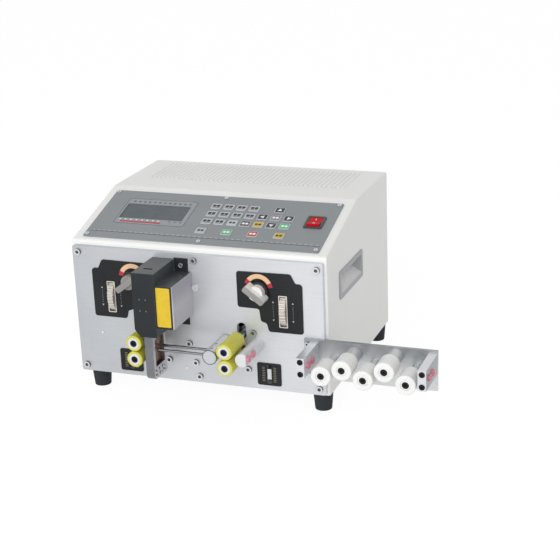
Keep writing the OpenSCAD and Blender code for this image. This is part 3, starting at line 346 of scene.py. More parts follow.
displayCells = {"Scale": 1, "Mortar Size": 0.0004, "Brick Width": 0.0049, "Row Height": 0.0092,
                "Color1": (0.82, 0.84, 0.84, 1), "Color2": (0.9, 0.91, 0.91, 1), "Mortar": (1, 1, 1, 1)}


def addCells(finish):  # faint rows of character cells on the display
    tree = finish.node_tree
    shade = tree.nodes["Principled BSDF"].inputs["Base Color"]
    coords = addNode(tree, "TexCoord")
    lay = addNode(tree, "Mapping", {"Rotation": (-math.radians(slope["tilt"]), 0, 0)})
    tree.links.new(coords.outputs["Object"], lay.inputs["Vector"])
    cells = addNode(tree, "TexBrick", displayCells, offset=0)
    tree.links.new(lay.outputs[0], cells.inputs["Vector"])
    pattern = addNode(tree, "Mix", {"Factor": 1}, data_type="RGBA", blend_type="MULTIPLY")
    tree.links.new(shade.links[0].from_socket, pattern.inputs["A"])
    tree.links.new(cells.outputs["Color"], pattern.inputs["B"])
    tree.links.new(pattern.outputs["Result"], shade)


addCells(finishes["display_glass"])
print("display cells drawn")


# modelling helpers

modelling = {"smoothAngle": 32, "cornerSteps": 4, "edgeSteps": 2, "discSteps": 3, "toolDepth": 4,
             "toolEdge": 0.05, "spinStep": 4, "fewestSteps": 6, "mergeGap": 0.01,
             "nearTop": 0.99, "upright": 0.9, "level": 0.1}  # millimetres, degrees and shares


def clearSelection():
    active = bpy.context.view_layer.objects.active
    if active and active.mode != "OBJECT":
        bpy.ops.object.mode_set(mode="OBJECT")
    bpy.ops.object.select_all(action="DESELECT")


def takeUp(piece):  # make a piece the only one selected
    clearSelection()
    piece.select_set(True)
    bpy.context.view_layer.objects.active = piece


def pick(piece, kind, wanted):  # choose faces, edges or corners by place and direction, ready to edit
    bpy.ops.object.mode_set(mode="EDIT")
    bpy.ops.mesh.select_mode(type=kind)
    bpy.ops.mesh.select_all(action="DESELECT")
    bpy.ops.object.mode_set(mode="OBJECT")
    mesh = piece.data
    if kind == "FACE":
        for face in mesh.polygons:
            face.select = wanted(face.center, face.normal)
    elif kind == "EDGE":
        for edge in mesh.edges:
            a, b = (mesh.vertices[i].co for i in edge.vertices)
            edge.select = wanted((a + b) / 2, (b - a).normalized())
    else:
        for corner in mesh.vertices:
            corner.select = wanted(corner.co, corner.normal)
    bpy.ops.object.mode_set(mode="EDIT")


def pickTopEdges(piece, thick):
    top = thick * mm * modelling["nearTop"]
    pick(piece, "EDGE", lambda mid, way: mid.z > top and abs(way.z) < modelling["level"])


def applyModifier(piece, kind, **settings):
    takeUp(piece)
    step = piece.modifiers.new(kind.lower(), kind)
    for key, value in settings.items():
        setattr(step, key, value)
    bpy.ops.object.modifier_apply(modifier=step.name)


def roundedPlate(name, width, height, thick, corner, edge=0.0):  # millimetres, standing on its back
    clearSelection()
    bpy.ops.mesh.primitive_cube_add(size=1)
    piece = bpy.context.object
    piece.name = name
    piece.scale = (width * mm, height * mm, thick * mm)
    piece.location = (0, 0, thick * mm / 2)
    bpy.ops.object.transform_apply(location=True, rotation=True, scale=True)
    pick(piece, "EDGE", lambda mid, way: abs(way.z) > modelling["upright"])
    bpy.ops.mesh.bevel(offset=corner * mm, segments=modelling["cornerSteps"], affect="EDGES")
    if edge:
        pickTopEdges(piece, thick)
        bpy.ops.mesh.bevel(offset=edge * mm, segments=modelling["edgeSteps"], affect="EDGES")
    bpy.ops.object.mode_set(mode="OBJECT")
    return piece


def turnedDisc(name, radius, thick, edge, sides=40):
    clearSelection()
    bpy.ops.mesh.primitive_cylinder_add(vertices=sides, radius=radius * mm, depth=thick * mm,
                                        location=(0, 0, thick * mm / 2))
    piece = bpy.context.object
    piece.name = name
    bpy.ops.object.transform_apply(location=True, rotation=True, scale=True)
    pickTopEdges(piece, thick)
    bpy.ops.mesh.bevel(offset=edge * mm, segments=modelling["discSteps"], affect="EDGES")
    bpy.ops.object.mode_set(mode="OBJECT")
    return piece


def arcStrip(name, inner, outer, start, sweep, thick):  # a flat band swept about the middle, in degrees
    clearSelection()
    bpy.ops.mesh.primitive_plane_add(size=(outer - inner) * mm, location=((inner + outer) / 2 * mm, 0, 0))
    piece = bpy.context.object
    piece.name = name
    bpy.ops.object.transform_apply(location=True, rotation=True, scale=True)
    pick(piece, "VERT", lambda co, way: co.y > 0)
    bpy.ops.mesh.delete(type="VERT")
    bpy.ops.object.mode_set(mode="OBJECT")
    for corner in piece.data.vertices:
        corner.co.y = 0
    piece.data.transform(turned(start, "Z"))
    bpy.ops.object.mode_set(mode="EDIT")
    bpy.ops.mesh.select_all(action="SELECT")
    steps = max(modelling["fewestSteps"], int(sweep / modelling["spinStep"]))
    bpy.ops.mesh.spin(steps=steps, angle=-math.radians(sweep), center=(0, 0, 0), axis=(0, 0, 1))
    bpy.ops.mesh.select_all(action="SELECT")
    bpy.ops.mesh.remove_doubles(threshold=modelling["mergeGap"] * mm)
    bpy.ops.mesh.select_all(action="SELECT")
    bpy.ops.mesh.extrude_region_move(TRANSFORM_OT_translate={"value": (0, 0, thick * mm)})
    bpy.ops.mesh.select_all(action="SELECT")
    bpy.ops.mesh.normals_make_consistent(inside=False)
    bpy.ops.object.mode_set(mode="OBJECT")
    return piece


def cutAway(piece, tool):
    applyModifier(piece, "BOOLEAN", operation="DIFFERENCE", object=tool, solver="EXACT")
    bpy.data.objects.remove(tool)


def cutThrough(piece, tool):  # the tool stands out on both sides of the work
    tool.data.transform(moved(0, 0, -modelling["toolDepth"] / 2))
    cutAway(piece, tool)


def turnedRing(name, outer, inner, thick, edge, sides=40):
    ring = turnedDisc(name, outer, thick, edge, sides)
    cutThrough(ring, turnedDisc("ringBore", inner, modelling["toolDepth"], modelling["toolEdge"], sides))
    return ring


def copyOf(piece, name, matrix):
    twin = bpy.data.objects.new(name, piece.data.copy())
    bpy.context.scene.collection.objects.link(twin)
    twin.data.transform(matrix)
    return twin


def joined(name, parts):
    clearSelection()
    for part in parts:
        part.select_set(True)
    bpy.context.view_layer.objects.active = parts[0]
    bpy.ops.object.join()
    parts[0].name = name
    return parts[0]


def discard(*masters):
    for master in masters:
        bpy.data.objects.remove(master)


def dress(piece, body, slot, *coats):  # coats are finishes, the first covers what is not painted over
    if coats:
        piece.data.materials.clear()
        for coat in coats:
            piece.data.materials.append(coat)
    takeUp(piece)
    bpy.ops.object.shade_smooth_by_angle(angle=math.radians(modelling["smoothAngle"]))
    applyModifier(piece, "WEIGHTED_NORMAL", keep_sharp=True)  # flat faces stay flat beside eased edges
    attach(piece, body)
    return piece


# CAD pieces with their edges eased

easing = {"mergeGap": 0.002, "flat": 0.5, "sharp": 40, "steps": 2}  # millimetres and degrees
easedEdges = {  # width of the eased edge in millimetres, 0 for smoothing alone
    "case_shell": 0, "chassis_pan": 0, "front_plate": 0.7, "control_panel": 0.3, "switch_frame": 0.6,
    "rocker_button": 0.8, "side_handles": 0.25, "scale_plates": 0.15, "blade_frame": 0.4,
    "blade_guard": 0.7, "guard_side_plate": 0.3, "inlet_guide": 0.4, "wire_funnels": 0,
    "straightener_bracket": 0.5, "guide_blocks": 0.5, "straightener_bolts": 0.3, "rubber_feet": 0.8,
    "machine_screws": 0.3, "shaft_bushes": 0, "tube_boss": 0.4, "guide_tubes": 0,
    "upper_blade_slide": 0.3, "lower_blade_slide": 0.3, "adjuster_axle_1": 0.3, "adjuster_axle_2": 0.3,
    "fan_frame": 0.3, "fan_rotor": 0.2, "power_inlet": 0.4, "blade_screw": 0, "lcd_display": 0.2,
}
feedEdges = {"lower_tyre": 0.6, "upper_tyre": 0.6, "lower_shaft": 0, "upper_shaft": 0, "release_knob": 0.7,
             "gap_wheel": 0.2, "gap_rack": 0.2}
feedSides = {"infeed": 1, "outfeed": -1}  # the side's sign along X
straightenerRollers = range(1, 6)
for side in feedSides:
    easedEdges.update({side + "_" + part: width for part, width in feedEdges.items()})
for number in straightenerRollers:
    easedEdges["straightener_roller_%d" % number] = 0.7


def ease(name, width):
    piece = bpy.data.objects.new(name + "_eased", nodes[name].data.copy())
    bpy.context.scene.collection.objects.link(piece)
    takeUp(piece)
    bpy.ops.object.mode_set(mode="EDIT")
    bpy.ops.mesh.select_all(action="SELECT")
    bpy.ops.mesh.remove_doubles(threshold=easing["mergeGap"] * mm)
    bpy.ops.mesh.select_all(action="SELECT")
    bpy.ops.mesh.dissolve_limited(angle_limit=math.radians(easing["flat"]))
    bpy.ops.object.mode_set(mode="OBJECT")
    if width:
        applyModifier(piece, "BEVEL", width=width * mm, segments=easing["steps"], limit_method="ANGLE",
                      angle_limit=math.radians(easing["sharp"]), use_clamp_overlap=True,
                      harden_normals=False)
    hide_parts(name)
    return dress(piece, bodyOf[name], slotOf[name], finishes[slotOf[name]])


eased = {name: ease(name, width) for name, width in easedEdges.items()}
print("eased pieces:", len(eased))


# two-tone pieces of the CAD set, with painted light and shade on some

def paintAll(name, coat):  # another finish on a whole piece
    eased[name].data.materials[0] = coat


def paintFaces(name, coat, wanted):  # a second finish on some faces of a piece
    mesh = eased[name].data
    mesh.materials.append(coat)
    for face in mesh.polygons:
        if wanted((face.center - caseMiddle) / mm, face.normal):
            face.material_index = len(mesh.materials) - 1


plateScrews = {  # large ones by X and height over the floor, small ones by X, Z, front and radius
    "large": ((-187, 193.5), (0, 193.5), (187, 193.5), (-187, 12.5), (0, 12.5), (187, 12.5),
              (88, 90), (77.8, 32), (-14, 63.6), (-5, 34), (-48, 35), (1, 152.6)),
    "small": ((-19, 208, -172, 3.5), (172, 62, -175, 3.5), (172, 105, -175, 3.5)),
    "floor": 22, "front": -170, "radius": 5, "pale": (1, 152.6), "paleReach": 6,
    "socketShare": 0.6, "socketDepth": 0.4, "rimShares": (0.75, 1.1), "rimFacing": 0.8}
screwHeads = [(x, z + plateScrews["floor"], plateScrews["front"], plateScrews["radius"])
              for x, z in plateScrews["large"]]
screwHeads += plateScrews["small"]


def inSocket(spot, facing):
    return any(math.hypot(spot.x - x, spot.z - z) < plateScrews["socketShare"] * radius
               and spot.y > front + plateScrews["socketDepth"] for x, z, front, radius in screwHeads)


def onRim(spot, facing):
    inner, outer = plateScrews["rimShares"]
    return abs(facing.y) < plateScrews["rimFacing"] and any(
        inner * radius < math.hypot(spot.x - x, spot.z - z) < outer * radius
        for x, z, front, radius in screwHeads)


def onPaleScrew(spot, facing):
    x, z = plateScrews["pale"]
    return math.hypot(spot.x - x, spot.z - z - plateScrews["floor"]) < plateScrews["paleReach"]


def paintScrews():
    # painted shade: the sockets and the sides of the screw heads are painted darker than the heads
    paintFaces("machine_screws", plainPaint("screwSocketShade", (84, 86, 90), 0.5), inSocket)
    paintFaces("machine_screws", plainPaint("screwRimShade", (74, 76, 79), metal=0.3), onRim)
    paintFaces("machine_screws", plainPaint("paleScrew", (214, 216, 219), 0.4, metal=0.2), onPaleScrew)


feedTones = {"baseFront": -173.9, "gripFront": -193.5, "faceFacing": -0.7}  # of the release knobs


def paintFeedUnits():
    base, grip = feedTones["baseFront"], feedTones["gripFront"]
    # painted shade: the front faces of the knob grips are painted darker grey than their tops
    knobFrontShade = makeFinish("knobFrontShade", (140, 138, 135), (160, 158, 155), 0.4, metal=0.5,
                          grain=(300, 900, 900), bump=0.03, depth=0.04)
    knobShade = makeFinish("knobShade", (142, 140, 136), (162, 160, 156), 0.42, metal=0.3,
                           grain=(300, 900, 300), bump=0.02, depth=0.04)
    wheelSatin = makeFinish("wheelSatin", (182, 177, 168), (208, 203, 194), 0.38, metal=0.4,
                            grain=(900, 300, 300), bump=0.04, depth=0.05)
    for side in feedSides:
        knob = side + "_release_knob"
        paintFaces(knob, finishes["black_plastic"], lambda spot, facing: spot.y > base)
        paintFaces(knob, knobFrontShade,
                   lambda spot, facing: spot.y < grip and facing.y < feedTones["faceFacing"])
        paintAll(side + "_gap_wheel", wheelSatin)
    # painted shade: the outfeed knob's body is painted darker grey than the infeed knob's, as shade from
    # the guard
    paintFaces("outfeed_release_knob", knobShade, lambda spot, facing: grip < spot.y < base)


guideTones = {"collarFront": -228, "rightBlock": 340, "blockFacing": 0.8, "bossFront": -231.5,
              "bracketShade": 30}


def paintGuides():
    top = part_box("straightener_bracket")[1].z
    # painted shade: the bracket is darker towards its top
    paintAll("straightener_bracket", makeFinish(
        "bracketSteel", (134, 139, 142), (218, 220, 221), 0.34, metal=0.6, grain=(30, 900, 2200), patch=26,
        bump=0.05, depth=0.04, sweep=("Z", top, top - guideTones["bracketShade"] * mm)))
    paintAll("inlet_guide", makeFinish("guideSatin", (206, 207, 210), (222, 223, 225), 0.4, metal=0.2,
                                       grain=(900, 60, 900), bump=0.03, depth=0.04))
    paintAll("guide_tubes", makeFinish("tubeSteel", (104, 104, 106), (142, 142, 143), 0.25, metal=0.9,
                                       grain=(60, 900, 900), bump=0.03, depth=0.04))
    collarSteel = makeFinish("collarSteel", (188, 190, 193), (206, 208, 210), 0.42, metal=0.45,
                             grain=(60, 900, 60), patch=30, bump=0.01, depth=0.03)
    for name in ("adjuster_axle_1", "adjuster_axle_2"):
        paintFaces(name, collarSteel, lambda spot, facing: spot.y > guideTones["collarFront"])
    # painted shade: the right-facing side of the right guide block is painted darker
    blockShade = makeFinish("blockShade", (146, 149, 151), (176, 178, 180), 0.4, metal=0.3,
                            grain=(900, 60, 900), bump=0.03, depth=0.04)
    start, limit = guideTones["rightBlock"], guideTones["blockFacing"]
    paintFaces("guide_blocks", blockShade, lambda spot, facing: spot.x > start and facing.x > limit)
    # painted light: the front face of the boss is painted lighter than its body
    bossFaceLight = makeFinish("bossFaceLight", (184, 186, 191), (202, 204, 208), 0.42, metal=0.2, grain=900,
                          bump=0.03, depth=0.04)
    paintFaces("tube_boss", bossFaceLight, lambda spot, facing: spot.y < guideTones["bossFront"])


guardTones = {"lipFront": -173, "sideFacing": 0.6, "frameFacing": 0.8, "plateShade": (186, 164)}


def paintBladeHead():
    lip, limit = guardTones["lipFront"], guardTones["sideFacing"]
    # painted shade: the guard's side plate is darker towards its top, under the guard
    paintAll("guard_side_plate", makeFinish(
        "guardSteel", (162, 160, 172), (206, 203, 208), 0.36, metal=0.4, grain=(1500, 40, 1500), patch=9,
        bump=0.03, depth=0.03, sweep=heights(*guardTones["plateShade"])))
    # painted light: the right-facing sides of the blade frame and of the guard's lip are painted lighter
    # than the front
    frameSideLight = makeFinish("frameSideLight", (190, 186, 192), (218, 214, 220), 0.4, metal=0.45,
                           grain=(700, 60, 1400), bump=0.06, depth=0.05)
    paintFaces("blade_frame", frameSideLight, lambda spot, facing: facing.x > guardTones["frameFacing"])
    paintFaces("blade_guard", frameSideLight, lambda spot, facing: facing.x > limit and spot.y > lip)
    # painted light: the guard's upward faces and the right-facing walls of its recess are painted lighter
    # than its front
    guardLitFaces = makeFinish("guardLitFaces", (50, 54, 57), (74, 78, 81), 0.36, grain=900, bump=0.12,
                            depth=0.1, gloss=0.35)
    paintFaces("blade_guard", guardLitFaces,
               lambda spot, facing: facing.z > limit or (facing.x > limit and spot.y < lip))


caseTones = {"handleRim": 199.5, "scoopFacing": 0.3, "scoopShade": (150, 164),
             "louvreFoot": 275.2, "louvreFacing": (0.05, 0.95), "louvreShade": (275.3, 277.2)}


def inHandle(spot):  # inside the rim of a side handle
    return abs(spot.x) < caseTones["handleRim"]


def paintCase():
    scoop, (low, high) = caseTones["scoopFacing"], caseTones["louvreFacing"]
    paintAll("switch_frame", plainPaint("switchGrey", (62, 64, 66)))
    paintAll("side_handles", plainPaint("handleRim", (158, 159, 163), 0.4, metal=0.3))
    # painted light and shade: the scoop of each handle is painted darker at the bottom and near white at
    # the top
    handleScoopShading = makeFinish("handleScoopShading", (160, 161, 164), (254, 254, 253), 0.4, grain=900, bump=0.04,
                             depth=0.05, sweep=heights(*caseTones["scoopShade"]))
    paintFaces("side_handles", handleScoopShading,
               lambda spot, facing: inHandle(spot) and facing.x * math.copysign(1, spot.x) > scoop)
    # painted light: the front-facing end walls inside the handles are painted lighter than the rim
    paintFaces("side_handles", plainPaint("handleEndLight", (180, 181, 184), 0.4),
               lambda spot, facing: inHandle(spot) and facing.y < -scoop)
    # painted shade: each louvre is painted darker at its foot and lighter at its crest
    louvreShade = makeFinish("louvreShade", (222, 222, 220), (254, 254, 253), 0.42, grain=900, bump=0.1,
                             depth=0.1, sweep=heights(*caseTones["louvreShade"]))
    paintFaces("case_shell", louvreShade,
               lambda spot, facing: spot.z > caseTones["louvreFoot"] and low < facing.x < high)


paintScrews()
paintFeedUnits()
paintGuides()
paintBladeHead()
paintCase()
print("two-tone pieces painted")


# keys and print of the sloping panel

keyCap = {"width": 15.9, "length": 14.4, "thick": 1.0, "corner": 1.6, "edge": 0.3, "rim": 1.0,
          "pad": 0.15, "padFoot": 0.03, "firstX": -7.5, "pitch": 20.4, "rows": (111, 90, 69, 43.5),
          "seat": 1.6, "rimShade": (184, 187, 190)}
keyShades = {"light": (196, 198, 201), "black": (40, 41, 44), "plum": (128, 118, 134),
             "dark": (74, 68, 74), "yellow": (214, 176, 44), "green": (76, 182, 122),
             "red": (186, 58, 62), "grey": (176, 179, 183)}
keyPlan = [  # column, row, shade, mark, turn of an arrow
    *((column, 0, "light", "sign", 0) for column in range(4)), (5, 0, "black", "arrow", 90),
    *((column, 1, "light", "sign", 0) for column in range(4)), (4, 1, "black", "arrow", 180),
    (5, 1, "plum", "bar", 0), (6, 1, "black", "arrow", 0),
    (0, 2, "light", "sign", 0), (1, 2, "light", "sign", 0), (2, 2, "light", "bar", 0),
    (3, 2, "dark", "bar", 0), (4, 2, "yellow", "bar", 0), (5, 2, "black", "arrow", 270),
    (6, 2, "green", "bar", 0), (0, 3, "grey", "bar", 0), (2, 3, "green", "bar", 0),
    (4, 3, "red", "bar", 0), (6, 3, "yellow", "bar", 0)]
keyMark = {"thick": 0.12, "block": (5.3, 5.6), "blockCorner": 0.7, "line": (11.6, 1.3), "lineCorner": 0.5,
           "signOut": 3.1, "signUp": 1, "lineDown": 3.6, "barOut": 2.7, "barScale": 0.8,
           "arrow": 4.2, "arrowEdge": 0.05, "onDark": ("black", "dark", "plum", "red", "green")}


def makeKeyCap():
    rim = plainPaint("keyRim", keyCap["rimShade"], 0.4)
    cap = roundedPlate("keyMaster", keyCap["width"], keyCap["length"], keyCap["thick"], keyCap["corner"],
                       keyCap["edge"])
    takeUp(cap)
    nearTop = modelling["nearTop"]
    pick(cap, "FACE", lambda mid, way: way.z > nearTop and mid.z > keyCap["thick"] * mm * nearTop)
    bpy.ops.mesh.inset(thickness=keyCap["rim"] * mm)
    bpy.ops.mesh.extrude_region_move(TRANSFORM_OT_translate={"value": (0, 0, keyCap["pad"] * mm)})
    bpy.ops.object.mode_set(mode="OBJECT")
    padFoot = (keyCap["thick"] + keyCap["padFoot"]) * mm
    cap.data.materials.append(rim)
    cap.data.materials.append(rim)  # each copy puts its own shade here
    for face in cap.data.polygons:
        face.material_index = int(face.center.z > padFoot)
    return cap


def makeKeyMarks():
    thick = keyMark["thick"]
    block = roundedPlate("signBlock", *keyMark["block"], thick, keyMark["blockCorner"])
    under = roundedPlate("signLine", *keyMark["line"], thick, keyMark["lineCorner"])
    blocks = [copyOf(block, "signPart", moved(x, keyMark["signUp"], 0))
              for x in (-keyMark["signOut"], keyMark["signOut"])]
    sign = joined("signMaster", blocks + [copyOf(under, "signUnder", moved(0, -keyMark["lineDown"], 0))])
    small = Matrix.Scale(keyMark["barScale"], 4)
    bar = joined("barMaster", [copyOf(block, "barPart", moved(x, 0, 0) @ small)
                               for x in (-keyMark["barOut"], keyMark["barOut"])])
    arrow = turnedDisc("arrowMaster", keyMark["arrow"], thick, keyMark["arrowEdge"], sides=3)
    arrow.data.transform(turned(-90, "Z"))
    discard(block, under)
    return {"sign": sign, "bar": bar, "arrow": arrow}


def makeKeys():
    paints = {name: plainPaint(name + "Key", shade, 0.4, gloss=0.4) for name, shade in keyShades.items()}
    cap = makeKeyCap()
    marks = makeKeyMarks()
    printed = {"dark": [], "white": []}
    for column, row, shade, mark, turn in keyPlan:
        x, s = keyCap["firstX"] + keyCap["pitch"] * column, keyCap["rows"][row]
        key = copyOf(cap, "key_%d_%d" % (row, column), slopeFace(x, s, keyCap["seat"]))
        key.data.materials[1] = paints[shade]
        dress(key, "machine", "panel_grey")
        ink = "white" if shade in keyMark["onDark"] else "dark"
        top = keyCap["seat"] + keyCap["thick"] + keyCap["pad"]
        printed[ink].append(copyOf(marks[mark], "mark", slopeFace(x, s, top, turn)))
    for ink, parts in printed.items():
        dress(joined("keyMarks_" + ink, parts), "machine", "panel_grey", inks[ink])
    discard(cap, *marks.values())


panelPrint = {"thick": 0.14, "seat": 1.6, "maskSize": (115, 70), "maskAt": (-96.5, 84.5), "maskCorner": 4,
              "maskShade": (146, 151, 155), "glassSize": (104, 41), "glassAt": (-98.5, 85),
              "glassCorner": 0.6, "outline": 1.0, "outlineCorner": 4.6,
              "redLine": (66, 3.4, -111, 55.4), "redCorner": 0.6, "redEdge": 0.05,  # size and place
              "ruler": (362, 1.4, 2, 24.8), "rulerCorner": 0.2,
              "tick": (4.6, 1.7), "tickCorner": 0.15, "tickGap": 8.6, "tickUp": 2.4,
              "upperDash": (3.6, 3.6, 8.4, 111.2), "lowerDash": (2.6, 2.4, 9, 60.6),  # size, gap and place
              "dashCorner": 0.4, "dashCount": 12}
dashRows = (("displayDashes", "upperDash", "line", 0, 12), ("displayNotes", "lowerDash", "white", 0, 8),
            ("displayEnds", "lowerDash", "line", 9, 12))  # piece, size, ink, first and last dash


def makeDisplayTrim():
    thick, seat, depth = panelPrint["thick"], panelPrint["seat"], modelling["toolDepth"]
    width, length = panelPrint["maskSize"]
    inside = [side - 2 * panelPrint["outline"] for side in (width, length)]
    (x, s), (glassX, glassS) = panelPrint["maskAt"], panelPrint["glassAt"]
    hole = roundedPlate("glassHole", *panelPrint["glassSize"], depth, panelPrint["glassCorner"])
    hole.data.transform(moved(glassX - x, glassS - s, 0))
    mask = roundedPlate("displayMask", *inside, thick, panelPrint["maskCorner"])
    cutThrough(mask, hole)
    mask.data.transform(slopeFace(x, s, seat))
    dress(mask, "machine", "panel_grey", plainPaint("maskFilm", panelPrint["maskShade"]))
    outline = roundedPlate("displayOutline", width, length, thick, panelPrint["outlineCorner"])
    cutThrough(outline, roundedPlate("outlineHole", *inside, depth, panelPrint["maskCorner"]))
    outline.data.transform(slopeFace(x, s, seat))
    dress(outline, "machine", "panel_grey", inks["line"])
    wide, high, x, s = panelPrint["redLine"]
    line = roundedPlate("displayLine", wide, high, thick, panelPrint["redCorner"], panelPrint["redEdge"])
    line.data.transform(slopeFace(x, s, seat + thick))
    dress(line, "machine", "panel_grey", inks["red"])


def makeDisplayDashes():
    thick, over = panelPrint["thick"], panelPrint["seat"] + panelPrint["thick"]
    middle = (panelPrint["dashCount"] - 1) / 2
    for name, key, ink, first, last in dashRows:
        wide, high, gap, s = panelPrint[key]
        dash = roundedPlate("dashMaster", wide, high, thick, panelPrint["dashCorner"])
        dashes = [copyOf(dash, "dash", slopeFace(panelPrint["maskAt"][0] + gap * (n - middle), s, over))
                  for n in range(first, last)]
        dress(joined(name, dashes), "machine", "panel_grey", inks[ink])
        discard(dash)


def makePanelRuler():
    thick, seat, gap = panelPrint["thick"], panelPrint["seat"], panelPrint["tickGap"]
    wide, high, x, s = panelPrint["ruler"]
    ruler = roundedPlate("panelRuler", wide, high, thick, panelPrint["rulerCorner"])
    ruler.data.transform(slopeFace(x, s, seat))
    dress(ruler, "machine", "panel_grey", inks["line"])
    tick = roundedPlate("rulerTick", *panelPrint["tick"], thick, panelPrint["tickCorner"])
    firstX, tickS = x - (wide - gap) / 2, s + panelPrint["tickUp"]
    ticks = [copyOf(tick, "tick", slopeFace(firstX + n * gap, tickS, seat))
             for n in range(int(wide / gap))]
    dress(joined("rulerTicks", ticks), "machine", "panel_grey", inks["pale"])
    discard(tick)


rockerMarks = {"at": (157, 84.5, 0.5), "tilt": -9, "out": 6.4, "height": 3.88, "slant": 8.48,
               "thick": 0.15, "stroke": (1.0, 4), "strokeCorner": 0.35, "ring": (2.2, 1.4),
               "ringEdge": 0.05}


def makeRockerMarks():
    home = slopeFace(*rockerMarks["at"]) @ turned(rockerMarks["tilt"], "X")
    stroke = roundedPlate("rockerOn", *rockerMarks["stroke"], rockerMarks["thick"],
                          rockerMarks["strokeCorner"])
    ring = turnedRing("rockerOff", *rockerMarks["ring"], rockerMarks["thick"], rockerMarks["ringEdge"])
    for piece, sign in ((stroke, 1), (ring, -1)):
        spot = moved(0, sign * rockerMarks["out"], rockerMarks["height"])
        piece.data.transform(home @ spot @ turned(sign * rockerMarks["slant"], "X"))
        dress(piece, "power_rocker", "red_plastic", inks["white"])


makeKeys()
makeDisplayTrim()
makePanelRuler()
makeDisplayDashes()
makeRockerMarks()
print("panel keys and print made")


# print and trim of the scale plates

scalePrint = {"thick": 0.14, "face": -168.2, "edge": 0.05,
              "knobX": 99.2, "knobZ": 181.4, "arcInner": 15.2, "arcOuter": 22, "arcStart": 8,
              "arcSweep": 152, "redSweep": 20, "wheelX": 135.7, "wheelZ": 149, "markOut": 15,
              "markUp": 13.5, "arrow": 1.75, "dot": 0.42, "dotSides": 12, "dotGap": 2.9,
              "dots": range(-3, 4), "lowerX": 110.5, "lowerZ": 49.6, "tick": (4.4, 0.7),
              "tickCorner": 0.2, "tickOut": 8.6, "tickGap": 2.7, "ticks": range(-4, 5)}
wheelFrame = {"size": (13.2, 48.8), "thick": 0.6, "corner": 1.2, "edge": 0.25, "hole": (10.2, 46),
              "holeCorner": 0.6}


def makeScaleBand(sign, side):
    x, z, face, red = (scalePrint[k] for k in ("knobX", "knobZ", "face", "redSweep"))
    home = frontFace(sign * x, face, z)
    start, sweep = scalePrint["arcStart"], scalePrint["arcSweep"]
    if sign < 0:
        start = 180 - start - sweep

    def strip(name, first, span):
        piece = arcStrip(name, scalePrint["arcInner"], scalePrint["arcOuter"], first, span,
                         scalePrint["thick"])
        piece.data.transform(home)
        return piece

    band = strip("scaleBand_" + side, start + red, sweep - 2 * red)
    dress(band, "machine", "black_anodised", inks["cream"])
    ends = [strip("bandEnd", first, red) for first in (start, start + sweep - red)]
    dress(joined("scaleBandEnds_" + side, ends), "machine", "black_anodised", inks["red"])


def makeScaleMarks(sign, side):
    thick, face, edge, z = (scalePrint[k] for k in ("thick", "face", "edge", "wheelZ"))
    arrow = turnedDisc("scaleArrow", scalePrint["arrow"], thick, edge, sides=3)
    dot = turnedDisc("scaleDot", scalePrint["dot"], thick, edge, sides=scalePrint["dotSides"])
    marks = []
    for across in (-1, 1):
        x = sign * scalePrint["wheelX"] + across * scalePrint["markOut"]
        marks += [copyOf(arrow, "mark", frontFace(x, face, z + up * scalePrint["markUp"], turn))
                  for up, turn in ((-1, 180), (1, 0))]
        marks += [copyOf(dot, "mark", frontFace(x, face, z + n * scalePrint["dotGap"]))
                  for n in scalePrint["dots"]]
    dress(joined("scaleMarks_" + side, marks), "machine", "black_anodised", inks["pale"])
    tick = roundedPlate("scaleTick", *scalePrint["tick"], thick, scalePrint["tickCorner"])
    ticks = []
    for across in (-1, 1):
        x = sign * scalePrint["lowerX"] + across * scalePrint["tickOut"]
        rows = [scalePrint["lowerZ"] + n * scalePrint["tickGap"] for n in scalePrint["ticks"]]
        ticks += [copyOf(tick, "tick", frontFace(x, face, row)) for row in rows]
    dress(joined("gapTicks_" + side, ticks), "machine", "black_anodised", inks["sand"])
    discard(arrow, dot, tick)


def makeWheelFrame(sign, side, satin):
    bezel = roundedPlate("wheelFrame_" + side, *wheelFrame["size"], wheelFrame["thick"],
                         wheelFrame["corner"], wheelFrame["edge"])
    cutThrough(bezel, roundedPlate("wheelHole", *wheelFrame["hole"], modelling["toolDepth"],
                                   wheelFrame["holeCorner"]))
    bezel.data.transform(frontFace(sign * scalePrint["wheelX"], scalePrint["face"], scalePrint["wheelZ"]))
    dress(bezel, "machine", "bright_steel", satin)


frameSatin = makeFinish("frameSatin", (206, 195, 188), (226, 217, 210), 0.4, metal=0.3,
                        grain=(900, 300, 300))
for side, sign in feedSides.items():
    makeScaleBand(sign, side)
    makeScaleMarks(sign, side)
    makeWheelFrame(sign, side, frameSatin)
print("scale plates printed")


# ends of the feed rollers, ring of the boss and rings of the straightener rollers

rollerEnd = {"washer": (8.7, 5.2), "washerThick": 0.6, "washerEdge": 0.25, "washerShade": (212, 214, 217),
             "screwRadius": 5, "screwHeight": 3.6, "screwEdge": 0.5, "screwTurn": 12,
             "socket": 2.9, "socketFloor": 1.4,
             "x": 70, "upperZ": 107.3, "lowerZ": 82.7, "hubFace": -238.6, "recess": -234}


